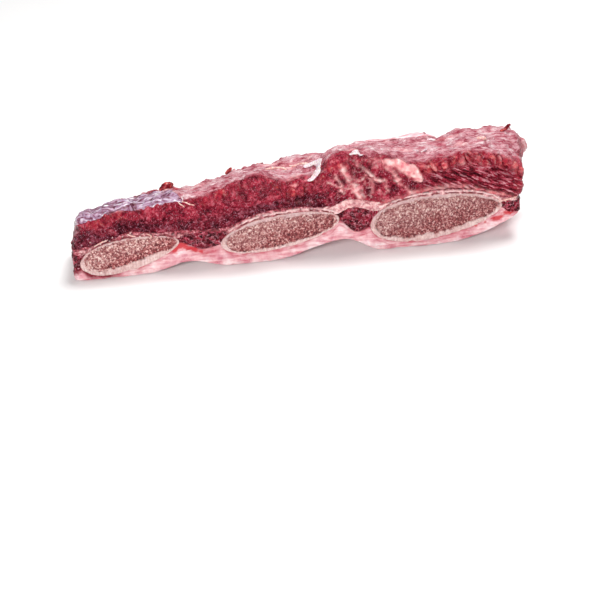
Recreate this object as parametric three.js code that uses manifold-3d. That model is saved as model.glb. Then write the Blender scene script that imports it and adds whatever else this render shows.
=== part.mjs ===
// Raw beef short ribs, cut across the bone: one strip of three ribs, lying on its rib side with the sawn face to the
// front. Three sawn ribs run through the strip from front to back. Rib muscle fills the spaces between them, a pale
// band of fat and fascia closes the underside, a thinner band covers the ribs, and a thick slab of lean lies on top.
// A sheet of silverskin clings to the top of the slab at the left end.
//
// Units are millimetres. X runs along the strip, Y from the sawn front face to the back one, and Z up.
import * as THREE from "three";
import { mergeVertices } from "three/addons/utils/BufferGeometryUtils.js";
import Module from "manifold-3d";

// --- Driving dimensions ---------------------------------------------------------------------------------------------

const LEFT = -85.2; // the strip's ends at the front face, from the middle of the three ribs' span
const RIGHT = 84.6;
const DEPTH = 26; // thickness of the cut, sawn face to sawn face
const FRONT = -DEPTH / 2;
const GAP = 0.3; // between neighbouring tissues
const ORIGIN = new THREE.Vector3(3.07, -0.726, 0); // middle of the strip's underside, from the same point as LEFT and RIGHT

// Each rib's cut face: its middle, half its length and height, its tilt in degrees, how much its right end tapers,
// and its wall's thickness above, below and at the two ends.
const RIBS = {
  left: { x: -63.6, z: 9.1, long: 18.9, high: 6.5, tilt: 10, taper: 0.22, above: 1.3, below: 3.1, ends: 2.2 },
  middle: { x: -7.2, z: 12.0, long: 22.6, high: 6.9, tilt: 8, taper: 0.1, above: 2.0, below: 1.8, ends: 2.0 },
  right: { x: 51.6, z: 12.0, long: 25.0, high: 9.0, tilt: 4.5, taper: 0.18, above: 2.0, below: 2.7, ends: 2.3 },
};
const RIB_DRIFT = { x: 0.05, z: 0.012 }; // how far a rib wanders for each millimetre of depth

// The underside is flat where a rib bears on the board, and arches up between two ribs and at the right end.
const ARCHES = [
  { x: -41, height: 3.2, toLeft: 17, toRight: 14 },
  { x: 17, height: 5.8, toLeft: 29, toRight: 14 },
];
const TAIL = { from: 53, curve: 0.0105 }; // the right end curls up as a parabola

// Spaces beside the ribs, filled with rib muscle: three places along X, the height of the space's floor and roof at
// each, and how far the muscle runs.
const SPACES = {
  left_end: { at: [-85, -82.5, -80], floor: [3.8, 4.9, 6], roof: [11, 10.9, 10.6], muscle: [LEFT, -79] },
  left: { at: [-45.5, -37, -28], floor: [12, 8.4, 9.6], roof: [13.4, 15.4, 14], muscle: [-46, -25] },
  right: { at: [14.6, 21, 28], floor: [14.2, 9, 10.6], roof: [16.9, 18.9, 16.6], muscle: [12, 32] },
  right_end: { at: [76, 79.5, 84], floor: [13.2, 10.6, 10.6], roof: [14.9, 15.2, 15.2], muscle: [73, RIGHT - 0.8] },
};
const BELLY_TOP = throughRibs("floor"); // top of the belly fascia
const COVER_BASE = throughRibs("roof"); // base of the fat over the ribs

// Heights along the strip: [x, z] points that a smooth line passes through.
const COVER_TOP = smoothLine([
  [-85, 12.8], [-74, 14.6], [-62, 18.0], [-54, 16.6], [-42, 16.4], [-27, 16], [-14, 20.4],
  [0, 21.2], [12, 20.2], [19, 22.2], [27, 21.2], [33, 19.4], [45, 21.9], [64, 21.6], [76, 17.6], [85, 16.6],
]);
const CREST = smoothLine([
  [-85, 24], [-76, 25.6], [-66, 27.8], [-58, 27], [-45, 29.6], [-40, 28], [-25, 31.8], [-14, 33.9],
  [-9, 31.6], [-4, 28], [3, 29.2], [8, 31.8], [13, 37], [21, 38.8], [33, 36.8], [44, 32.8], [58, 34.4],
  [66, 35.8], [75, 33], [85, 28.2],
]); // front upper edge of the lean
const REAR = smoothLine([
  [-85, 15.8], [-77, 17.6], [-66, 19.6], [-54, 22.4], [-46, 22.8], [-36, 24.2], [-20, 27.8], [-4, 30.2],
  [20, 33], [34, 34.4], [48, 35.4], [57, 33.8], [66, 35.6], [85, 35],
]); // back upper edge of the lean

// Bumps and dents of the lean: middle, reach along X, Y and Z, and how far it stands out.
const KNOBS = [
  { at: [-45.5, 8, 24], reach: [2.6, 5, 6], out: 2.4 }, // curled end of a muscle by the silverskin
  { at: [38, -12, 34], reach: [6.5, 5, 5], out: 1.6 }, // lobe of fat on the front edge
  { at: [20, -12, 36], reach: [7, 4, 4], out: 1.2 }, // shoulder of the marbled muscle
  { at: [-13, -13, 31], reach: [5, 3, 3.5], out: 1.5 }, // folded edge by the dip
  { at: [52, -13, 33.5], reach: [9, 3, 3], out: 1.3 }, // torn rim of the right-hand muscle
  { at: [70, -13, 33], reach: [9, 3, 3], out: 1.5 },
  { at: [60, -13, 26], reach: [15, 4, 3.2], out: -2.6 }, // hollow under that rim
  { at: [-3, -13, 24], reach: [16, 4, 3], out: -1.6 }, // hollow under the dip
  { at: [-66, -13, 20], reach: [14, 4, 2.4], out: -1.5 }, // hollow over the left rib
  { at: [-30, -13, 19], reach: [16, 4, 2.4], out: -1.2 },
];
const FLAP = { y: 9.5, z: 27.5, wide: 4.5, high: 3.2, out: 4.2 }; // loose flap at the far right corner
const FAR_CORNER = 3.4; // how far the back of the right end reaches past the front
const LEAN_RELIEF = 0.8; // depth of the lean's slow ridges and dents
const SOFT_RELIEF = 0.35; // and of the fat's and the rib muscle's
const FRILLS = { pitch: 5.2, depth: 1.1, band: 4.5 }; // bunched muscle ends along the lean's front upper edge
const FLAKES = { pitch: 6.3, depth: 0.7 }; // torn sheets of muscle that run along the lean's top and back

// Outline of the silverskin seen from above: its middle, half its length and width, and its thickness.
const SILVERSKIN = { x: -60.5, long: 20.5, wide: 11.4, thickness: 0.7, corners: 40 };

// --- Lines and surfaces ---------------------------------------------------------------------------------------------

// A function of x whose graph passes smoothly through the given points.
function smoothLine(points) {
  const slope = points.map((_, i) => {
    const [a, b] = [points[Math.max(i - 1, 0)], points[Math.min(i + 1, points.length - 1)]];
    return (b[1] - a[1]) / (b[0] - a[0]);
  });
  return (x) => {
    const last = points.length - 2;
    const found = points.findIndex((p) => p[0] > x) - 1;
    const i = found < -1 || x >= points[last + 1][0] ? last : Math.max(found, 0);
    const [[x0, z0], [x1, z1]] = [points[i], points[i + 1]];
    const w = x1 - x0;
    const t = Math.min(Math.max((x - x0) / w, 0), 1);
    const [s, u] = [1 - t, t * t];
    return z0 * s * s * (1 + 2 * t) + z1 * u * (3 - 2 * t) + w * t * s * (slope[i] * s - slope[i + 1] * t);
  };
}

// A line through the ribs' middles and the floors, or the roofs, of the spaces beside them.
function throughRibs(level) {
  const middles = Object.values(RIBS).map((rib) => [rib.x, rib.z]);
  const besides = Object.values(SPACES).flatMap((space) => space.at.map((x, i) => [x, space[level][i]]));
  return smoothLine([...middles, ...besides].sort((a, b) => a[0] - b[0]));
}

const mix = (a, b, t) => a + (b - a) * t;
const ease = (t) => t * t * (3 - 2 * t);
const clamp01 = (t) => Math.min(Math.max(t, 0), 1);
const hill = (distance) => Math.exp(-distance * distance);

// Slow folds of flesh: six sine waves that cross at odd angles, between about -1 and 1.
function folds(x, y, z) {
  const wave = (a, b, c, d) => Math.sin(a * x + b * y + c * z + d + Math.sin(0.21 * x + 0.33 * y + 0.4 * z));
  return (
    0.3 * wave(0.31, 0.22, 0.12, 0.4) +
    0.25 * wave(0.17, -0.41, 0.35, 1.9) +
    0.2 * wave(0.72, 0.15, -0.44, 3.1) +
    0.15 * wave(-0.55, 0.62, 0.51, 5.2) +
    0.13 * wave(1.15, 0.31, 0.86, 0.9) +
    0.1 * wave(0.93, -0.84, 1.2, 2.6)
  );
}

function underside(x) {
  const arch = ARCHES.map((a) => {
    const reach = x < a.x ? a.toLeft : a.toRight;
    const off = Math.min(Math.abs(x - a.x) / reach, 1);
    return a.height * Math.cos((off * Math.PI) / 2) ** 2;
  });
  const tail = x > TAIL.from ? TAIL.curve * (x - TAIL.from) ** 2 : 0;
  return Math.max(...arch, tail);
}

// A point of a rounded square's outline: side 0 is the front, then the top, the back and the base.
function roundedSquare(side, share, power) {
  const along = 2 * share - 1;
  const [p, q] = [[-1, along], [along, 1], [1, -along], [-along, -1]][side];
  const shrink = (Math.abs(p) ** power + Math.abs(q) ** power) ** (-1 / power);
  return [p * shrink, q * shrink];
}

// --- Solids ---------------------------------------------------------------------------------------------------------

// A closed skin over rings of points: rings run along +X, and each goes up the front and down the back.
function skin(rings) {
  const size = rings[0].length;
  const points = rings.flat();
  for (const ring of [rings[0], rings.at(-1)]) {
    const middle = ring.reduce((sum, p) => sum.add(p), new THREE.Vector3());
    points.push(middle.divideScalar(size));
  }
  const [first, last] = [rings.length * size, rings.length * size + 1];
  const faces = [];
  for (let j = 0; j < size; j++) {
    const next = (j + 1) % size;
    for (let i = 0; i < rings.length - 1; i++) {
      const [a, b, c, d] = [i * size + j, i * size + next, (i + 1) * size + next, (i + 1) * size + j];
      faces.push(a, d, c, a, c, b);
    }
    const end = (rings.length - 1) * size;
    faces.push(first, j, next, last, end + next, end + j);
  }
  return new THREE.BufferGeometry().setFromPoints(points).setIndex(faces);
}

// A tissue that runs along the strip from one end to the other, with rounded ends. place(x, p, q) gives the point
// for a station x and a place p, q on the rounded square, each from -1 to 1.
function along({ from, to, stations, sides, power, endRadius, endShrink, place }) {
  const rings = [];
  for (let i = 0; i <= stations; i++) {
    const turn = -Math.cos((Math.PI * i) / stations);
    const even = (2 * i) / stations - 1;
    const share = (mix(even, turn, 0.25) + 1) / 2;
    const x = mix(from, to, share);
    const toEnd = clamp01(Math.min(x - from, to - x) / endRadius);
    const shrink = 1 - endShrink * (1 - Math.sqrt(1 - (1 - toEnd) ** 2));
    const ring = [];
    sides.forEach((steps, side) => {
      for (let k = 0; k < steps; k++) {
        const [p, q] = roundedSquare(side, k / steps, power);
        ring.push(place(x, p * shrink, q * shrink));
      }
    });
    rings.push(ring);
  }
  return skin(rings);
}

// The outline of a rib's outer face, or of its marrow, pushed out by grow, at a given depth.
function ribRing(rib, y, grow, inner, steps) {
  const [above, below, ends] = inner ? [rib.above, rib.below, rib.ends] : [0, 0, 0];
  const tilt = THREE.MathUtils.degToRad(rib.tilt);
  const depth = y - FRONT;
  const ring = [];
  for (let k = 0; k < steps; k++) {
    const angle = (2 * Math.PI * k) / steps;
    const [c, s] = [Math.cos(angle), Math.sin(angle)];
    const wall = s > 0 ? above : below;
    const u = (rib.long - ends + grow) * c;
    const v = (rib.high * (1 - rib.taper * c) - wall * Math.abs(s) + grow) * s;
    const x = rib.x + RIB_DRIFT.x * depth + u * Math.cos(tilt) - v * Math.sin(tilt);
    const z = rib.z + RIB_DRIFT.z * depth + u * Math.sin(tilt) + v * Math.cos(tilt);
    ring.push(new THREE.Vector3(x, y, z));
  }
  return ring;
}

// A rib's prism between two depths.
function ribPrism(rib, near, far, grow, inner = false, steps = 40) {
  const [a, b] = [ribRing(rib, near, grow, inner, steps), ribRing(rib, far, grow, inner, steps)];
  return skin([a, b]);
}

// Ridges with sharp valleys between them, from -0.5 to 0.5.
const bunches = (phase) => Math.abs(Math.sin(Math.PI * phase)) - 0.5;

// How far the lean stands out at a point: its knobs, slow folds, frilled front edge and flaky top and back.
function relief(x, y, z) {
  const knobs = KNOBS.reduce((sum, { at, reach, out }) => {
    const [dx, dy, dz] = [(x - at[0]) / reach[0], (y - at[1]) / reach[1], (z - at[2]) / reach[2]];
    return sum + out * hill(Math.hypot(dx, dy, dz));
  }, 0);
  const rim = hill((z - CREST(x) + 2) / FRILLS.band) * hill(Math.max(y - FRONT, 0) / 6);
  const frills = FRILLS.depth * bunches(x / FRILLS.pitch + 0.5 * Math.sin(0.23 * x) + 0.04 * z);
  const inner = clamp01((y - FRONT) / 8);
  const flakes = FLAKES.depth * bunches((y + 0.6 * z) / FLAKES.pitch + 0.55 * Math.sin(0.11 * x) + 0.013 * x);
  return knobs + LEAN_RELIEF * folds(x, y, z) + rim * frills + inner * flakes;
}

// The lean's upper surface: share 0 is the front edge and 1 the back.
const leanTop = (x, share) => mix(CREST(x), REAR(x), ease(share)) + 0.8 * Math.sin(Math.PI * share);
const skew = (x) => FAR_CORNER * clamp01((x - 50) / (RIGHT - 50)) ** 1.5 + 1.2 * clamp01((-60 - x) / 25);

function leanPoint(x, p, q) {
  const share = (p + 1) / 2;
  const base = COVER_TOP(x) + GAP;
  const z = mix(base, leanTop(x, clamp01(share)), (q + 1) / 2);
  const y = FRONT + DEPTH * share;
  const out = relief(x + skew(x) * share, y, z);
  const [outY, outZ] = [p ** 3, Math.max(q, 0) ** 3];
  return new THREE.Vector3(x + skew(x) * share + endPush(x, y, z), y + out * outY, z + out * outZ);
}

// Along the strip, the lean's ends bulge unevenly, the left one slopes back and the right one carries the flap.
function endPush(x, y, z) {
  const near = clamp01((Math.abs(x - (LEFT + RIGHT) / 2) - 80) / 5);
  const slope = 0.38 * Math.max(z - 12, 0) * clamp01((-65 - x) / 20);
  const flap = x > 0 ? FLAP.out * hill(Math.hypot((y - FLAP.y) / FLAP.wide, (z - FLAP.z) / FLAP.high)) : 0;
  return slope + near * (flap + 0.9 * folds(x, 1.6 * y, 1.6 * z));
}

// A layer of soft tissue between two height lines, its faces a little drawn in.
function softLayer(low, high, inset, flatBase) {
  return (x, p, q) => {
    const z = mix(low(x), high(x), (q + 1) / 2);
    const half = DEPTH / 2 - inset;
    const out = SOFT_RELIEF * folds(1.3 * x, p * half, z + 40) * Math.abs(p) ** 3;
    const lowered = flatBase ? z : z + 0.2 * SOFT_RELIEF * folds(x, 2 * p * half, 9);
    return new THREE.Vector3(x + 0.3 * skew(x) * (p + 1), p * (half + out), lowered);
  };
}

// --- Joining and cutting --------------------------------------------------------------------------------------------

const wasm = await Module();
wasm.setup();

function toSolid(geometry) {
  const bare = new THREE.BufferGeometry();
  bare.setAttribute("position", geometry.getAttribute("position")).setIndex(geometry.index);
  const merged = mergeVertices(bare, 1e-4);
  const vertProperties = new Float32Array(merged.attributes.position.array);
  return new wasm.Manifold(new wasm.Mesh({ numProp: 3, vertProperties, triVerts: new Uint32Array(merged.index.array) }));
}

function toGeometry(solid) {
  const { vertProperties, triVerts } = solid.getMesh();
  const geometry = new THREE.BufferGeometry();
  geometry.setAttribute("position", new THREE.BufferAttribute(new Float32Array(vertProperties), 3));
  geometry.setIndex(new THREE.BufferAttribute(new Uint32Array(triVerts), 1));
  geometry.computeVertexNormals();
  return geometry;
}

const largest = (solid) => solid.decompose().sort((a, b) => b.volume() - a.volume())[0];
const ribHoles = Object.values(RIBS).map((rib) => toSolid(ribPrism(rib, -DEPTH, DEPTH, GAP)));

// Soft tissue with the ribs' holes cut through it. Loose scraps are dropped.
function aroundRibs(tissue) {
  return toGeometry(largest(ribHoles.reduce((solid, hole) => solid.subtract(hole), tissue)));
}

// --- Materials ------------------------------------------------------------------------------------------------------

const flesh = (name, color, roughness) => new THREE.MeshStandardMaterial({ name, color, roughness, metalness: 0 });
const lean = flesh("lean", 0x8a2a35, 0.4);
const ribMuscle = flesh("rib_muscle", 0x5a1622, 0.4);
const belly = flesh("belly_fascia", 0xe3a9a8, 0.45);
const cover = flesh("cover_fat", 0xc98c84, 0.5);
const boneWall = flesh("bone_wall", 0xd9c6b6, 0.55);
const marrow = flesh("marrow", 0x9a6a62, 0.6);
const film = flesh("silverskin", 0xa892a4, 0.3);

// --- The strip ------------------------------------------------------------------------------------------------------

const strip = new THREE.Group();
strip.position.copy(ORIGIN).negate();

function add(name, geometry, material) {
  const mesh = new THREE.Mesh(geometry, material);
  mesh.name = name;
  strip.add(mesh);
}

for (const [place, rib] of Object.entries(RIBS)) {
  const outer = toSolid(ribPrism(rib, FRONT, -FRONT, 0));
  const hollow = toSolid(ribPrism(rib, -DEPTH, DEPTH, 0, true));
  add(`rib_${place}_wall`, toGeometry(outer.subtract(hollow)), boneWall);
  add(`rib_${place}_marrow`, ribPrism(rib, FRONT, -FRONT, -GAP, true), marrow);
}

const bellyLayer = along({
  from: LEFT - 0.2, to: RIGHT - 1, stations: 52, sides: [4, 4, 4, 5], power: 11, endRadius: 3, endShrink: 0.22,
  place: softLayer(underside, BELLY_TOP, 0, true),
});
add("belly_fascia", aroundRibs(toSolid(bellyLayer)), belly);

const coverLayer = along({
  from: LEFT + 0.2, to: RIGHT - 1, stations: 54, sides: [2, 4, 2, 4], power: 8, endRadius: 2, endShrink: 0.3,
  place: softLayer(COVER_BASE, COVER_TOP, 0.1, false),
});
add("cover_fat", aroundRibs(toSolid(coverLayer)), cover);

// Rib muscle fills what the ribs, the belly fascia and the cover leave of each space.
const raisedBelly = toSolid(bellyLayer.clone().translate(0, 0, GAP));
const loweredCover = toSolid(coverLayer.clone().translate(0, 0, -GAP));
for (const [place, { muscle: [from, to] }] of Object.entries(SPACES)) {
  const block = along({
    from, to, stations: 9, sides: [3, 4, 3, 4], power: 8, endRadius: 1.5, endShrink: 0.15,
    place: softLayer((x) => BELLY_TOP(x) - 0.5, (x) => COVER_BASE(x) + 0.5, 0.5, false),
  });
  const filling = toSolid(block).subtract(raisedBelly).subtract(loweredCover);
  add(`rib_muscle_${place}`, aroundRibs(filling), ribMuscle);
}

const slab = along({
  from: LEFT, to: RIGHT, stations: 84, sides: [9, 10, 8, 3], power: 8, endRadius: 4.5, endShrink: 0.22,
  place: leanPoint,
});
add("lean", slab, lean);

// The silverskin lies on the lean's top inside a wavy outline, and follows every fold of it.
const outline = new THREE.Shape();
for (let k = 0; k < SILVERSKIN.corners; k++) {
  const angle = (2 * Math.PI * k) / SILVERSKIN.corners;
  const [c, s] = [Math.cos(angle), Math.sin(angle)];
  const shrink = (Math.abs(c) ** 5 + Math.abs(s) ** 5) ** (-1 / 5) + 0.05 * folds(9 * c, 9 * s, 0);
  const point = [SILVERSKIN.x + SILVERSKIN.long * shrink * c, SILVERSKIN.wide * shrink * s];
  if (k === 0) outline.moveTo(...point);
  else outline.lineTo(...point);
}
const cutter = toSolid(new THREE.ExtrudeGeometry(outline, { depth: 3 * DEPTH, bevelEnabled: false }));
const [over, under] = [GAP + SILVERSKIN.thickness, GAP].map((lift) => toSolid(slab.clone().translate(0, 0, lift)));
add("silverskin", toGeometry(largest(over.subtract(under).intersect(cutter))), film);

export default strip;
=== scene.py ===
"""A strip of raw beef short ribs, cut across three ribs and lying on its rib side, dressed over its CAD
solids.

Sizes are in millimetres in the strip's own frame: X from the thin end to the thick end, Y from the front
sawn face to the back one, and Z up from the board. They become metres in the CAD's frame when a mesh is
made.
"""
import functools
import math

import bpy
import numpy as np
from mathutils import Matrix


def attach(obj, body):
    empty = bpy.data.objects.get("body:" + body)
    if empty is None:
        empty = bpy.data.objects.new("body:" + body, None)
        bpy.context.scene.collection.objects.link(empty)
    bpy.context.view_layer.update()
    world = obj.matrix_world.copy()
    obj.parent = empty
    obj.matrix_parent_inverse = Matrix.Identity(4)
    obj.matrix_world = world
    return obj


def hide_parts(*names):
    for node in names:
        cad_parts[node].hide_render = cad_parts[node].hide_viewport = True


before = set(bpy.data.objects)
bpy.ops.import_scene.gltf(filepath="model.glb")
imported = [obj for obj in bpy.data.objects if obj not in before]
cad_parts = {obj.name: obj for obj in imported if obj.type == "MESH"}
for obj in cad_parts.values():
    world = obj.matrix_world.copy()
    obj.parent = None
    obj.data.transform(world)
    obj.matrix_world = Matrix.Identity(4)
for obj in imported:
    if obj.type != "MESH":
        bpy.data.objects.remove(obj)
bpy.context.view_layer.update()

# --- The walls of the three ribs ------------------------------------------------------------------
# A beef rib is a flat tube of dense bone, here sawn across twice by a band saw. The wall is thickest
# underneath, ivory with a pink tinge, and its sawn edge is matt, with faint lines left by the blade.

FRONT, BACK = -13.0, 13.0  # the two sawn faces
STRIP_MIDDLE = (3.07, -0.726, 0.0)  # the CAD's origin in the strip's own frame
# Each rib's middle, half length and height, tilt, taper to the right, wall above, below and at the tips, how
# dark its marrow is, and how much of the wall's thickness has gone spongy underneath and on top.
RIBS = {
    "left": {"x": -63.6, "z": 9.1, "long": 18.9, "high": 6.5, "tilt": 10.0, "taper": 0.22,
             "walls": (1.3, 3.1, 2.2), "tone": 0.0, "ragged": (0.25, 0.75)},
    "middle": {"x": -7.2, "z": 12.0, "long": 22.6, "high": 6.9, "tilt": 8.0, "taper": 0.1,
               "walls": (2.0, 1.8, 2.0), "tone": 0.1, "ragged": (0.35, 0.45)},
    "right": {"x": 51.6, "z": 12.0, "long": 25.0, "high": 9.0, "tilt": 4.5, "taper": 0.18,
              "walls": (2.0, 2.7, 2.3), "tone": 0.2, "ragged": (0.35, 0.45)},
}
RIB_DRIFT = (0.05, 0.012)  # how far a rib wanders in X and Z for each millimetre of depth
BONE_WOBBLE = 0.3  # how uneven a rib's outline is
ROUND = 2 * math.pi
MARROW_HOLE = 0.5  # the cells of the spongy bone inside
RED_SIDE = 1.1  # how far below its right tip each rib's marrow is reddest, in radians
WALL_STEPS = 300  # points round a rib
FACE_STEPS = 13  # rows across the sawn edge of a wall


def clamp(values):
    """The values, kept from 0 to 1."""
    return np.clip(values, 0, 1)


def lattice(cells, seed):
    """Repeatable values from 0 to 1 for whole-number cells: the indices times large odd numbers, then
    mixed bits."""
    i = cells.astype(np.int64)
    h = (i[..., 0] * 73856093) ^ (i[..., 1] * 19349663) ^ (i[..., 2] * 83492791) ^ (seed * 2654435761)
    h = ((h ^ (h >> 13)) & 0xFFFFFFFF) * 1274126177 & 0xFFFFFFFF
    h = (h ^ (h >> 16)) * 668265263 & 0xFFFFFFFF
    return ((h ^ (h >> 15)) & 0xFFFFFF) / float(0xFFFFFF)


def lumps(points, size, seed):
    """Smooth noise from -1 to 1: lattice values a size apart, blended by the ease 6t^5 - 15t^4 + 10t^3."""
    place = points / size
    cell = np.floor(place)
    t = place - cell
    ease = t * t * t * (t * (6 * t - 15) + 10)
    total = np.zeros(points.shape[:-1])
    for corner in np.ndindex(2, 2, 2):
        share = np.prod(np.where(np.array(corner) == 1, ease, 1 - ease), axis=-1)
        total += share * lattice(cell + corner, seed)
    return 2 * total - 1


def rough(points, size, seed, octaves=3):
    """Noise from -1 to 1 on several scales: each octave is half as large and half as deep as the one
    before."""
    layers = [lumps(points, np.asarray(size) / 2**k, seed + k) / 2**k for k in range(octaves)]
    return sum(layers) / (2 - 2.0 ** (1 - octaves))


def at(x, y, z):
    """Points of a grid from their three coordinates, each a number or an array."""
    return np.stack(np.broadcast_arrays(x, y, z), axis=-1).astype(float)


def closed_skin(name, grid, masks, material, nodes=(), poles=True):
    """A closed piece from a grid of points. Columns run round and close on themselves. Rows end in poles,
    or close on themselves too. masks gives each point a value from 0 to 1 under a name that the material
    reads."""
    rows, columns = grid.shape[:2]
    points = grid.reshape(-1, 3)
    index = np.arange(rows * columns).reshape(rows, columns)
    kept = rows - 1 if poles else rows
    beside, after = np.roll(index, -1, axis=1), np.roll(index, -1, axis=0)
    faces = np.stack([index, after, np.roll(after, -1, axis=1), beside], axis=-1)[:kept].reshape(-1, 4)
    # A tiny piece is far from the origin, and its volume is tiny beside that.
    centred = points - points.mean(axis=0)
    a, b, c, d = (centred[faces[:, k]] for k in range(4))
    inside_out = np.einsum("ij,ij->i", a, np.cross(b, c) + np.cross(c, d)).sum() < 0
    triangles = np.zeros((0, 3), int)
    if poles:
        points = np.concatenate([points, grid[:1].mean(axis=1), grid[-1:].mean(axis=1)])
        tips = np.full(columns, rows * columns)
        first = np.stack([tips, index[0], beside[0]], axis=-1)
        last = np.stack([tips + 1, beside[-1], index[-1]], axis=-1)
        triangles = np.concatenate([first, last])
    if inside_out:
        faces, triangles = faces[:, ::-1], triangles[:, ::-1]
    mesh = bpy.data.meshes.new(name)
    mesh.from_pydata(((points - STRIP_MIDDLE) / 1000).tolist(), [], faces.tolist() + triangles.tolist())
    mesh.shade_smooth()
    for mask, values in masks.items():
        values = np.broadcast_to(values, (rows, columns))
        ends = [values[0].mean(), values[-1].mean()] if poles else []
        layer = mesh.attributes.new(mask, "FLOAT", "POINT")
        layer.data.foreach_set("value", np.append(values.ravel(), ends).astype(np.float32))
    mesh.materials.append(material)
    piece = bpy.data.objects.new(name, mesh)
    bpy.context.collection.objects.link(piece)
    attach(piece, "root")
    if nodes:
        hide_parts(*nodes)
    return piece


def rib_outline(rib, angle, inner=False):
    """An egg tilted about its middle: u = (long - tip wall) cos a and v = (high (1 - taper cos a) - wall
    |sin a|) sin a, with a slow wobble. Gives X and Z from the rib's middle."""
    above, below, tips = rib["walls"] if inner else (0, 0, 0)
    c, s = np.cos(angle), np.sin(angle)
    wall = np.where(s > 0, above, below)
    wobble = BONE_WOBBLE * rough(at(9 * c + rib["x"], 9 * s, 4.0 if inner else 0.0), 5.0, 3)
    u = (rib["long"] - tips + wobble) * c
    v = (rib["high"] * (1 - rib["taper"] * c) - wall * np.abs(s) + wobble) * s
    tilt = math.radians(rib["tilt"])
    return u * math.cos(tilt) - v * math.sin(tilt), u * math.sin(tilt) + v * math.cos(tilt)


def rib_place(rib, dx, y, dz):
    """Points from their place about the rib's middle, which drifts with depth."""
    return at(rib["x"] + RIB_DRIFT[0] * (y - FRONT) + dx, y, rib["z"] + RIB_DRIFT[1] * (y - FRONT) + dz)


def spongy_reach(rib, angle):
    """How far up an angle of the rib is, from 0 to 1, and how much of the wall has gone spongy there: a
    blend of the rib's two ragged values, and 0.4 cos^6 a more towards the right tip."""
    above = clamp(1.5 * np.sin(angle) + 0.2)
    gone = np.interp(above, [0, 1], rib["ragged"]) + 0.4 * clamp(np.cos(angle)) ** 6
    return above, gone


def linear(hex_colour):
    """An sRGB hex colour as linear red, green, blue and alpha."""
    parts = [int(hex_colour[k:k + 2], 16) / 255 for k in (1, 3, 5)]
    return [p / 12.92 if p <= 0.04045 else ((p + 0.055) / 1.055) ** 2.4 for p in parts] + [1.0]


def node(tree, kind, take=None, stops=(), **values):
    """Adds one shader node and returns its output called take, or its first live one. A value named in
    small letters is a setting. Any other goes to the socket of that identifier, with _ for a space: a
    number, a hex colour, another node's output, or the name of a mask that the mesh carries. stops are a
    ramp's places and hex colours."""
    made = tree.nodes.new("ShaderNode" + kind)
    if kind == "Mix":
        made.data_type = "RGBA" if "A_Color" in values else "FLOAT"
    for key, value in sorted(values.items(), key=lambda item: item[0][0].isupper()):
        if key[0].islower():
            setattr(made, key, value)
            continue
        socket = next(s for s in made.inputs if s.identifier.replace(" ", "_") == key)
        if isinstance(value, str) and not value.startswith("#"):
            value = node(tree, "Attribute", take="Fac", attribute_name=value)
        if isinstance(value, bpy.types.NodeSocket):
            tree.links.new(value, socket)
        else:
            socket.default_value = linear(value) if isinstance(value, str) else value
    for k, (place, colour) in enumerate(stops):
        band = made.color_ramp.elements
        stop = band[k] if k < 2 else band.new(place)
        stop.position, stop.color = place, linear(colour)
    return made.outputs[take] if take else next(s for s in made.outputs if s.enabled)


def finish(name, look, **even):
    """A material named for its finish. look(add, place) adds its nodes with add, and gives its colour,
    roughness and normal from place, the Object coordinates in millimetres. even sets what is the same all
    over."""
    material = bpy.data.materials.new(name)
    material.use_nodes = True
    tree = material.node_tree
    tree.nodes.clear()
    add = functools.partial(node, tree)
    metres = add("TexCoord", take="Object")
    colour, roughness, normal = look(add, add("Mapping", Vector=metres, Scale=(1000, 1000, 1000)))
    shader = add("BsdfPrincipled", Base_Color=colour, Roughness=roughness, Normal=normal, **even)
    tree.links.new(shader, tree.nodes.new("ShaderNodeOutputMaterial").inputs["Surface"])
    return material


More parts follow.
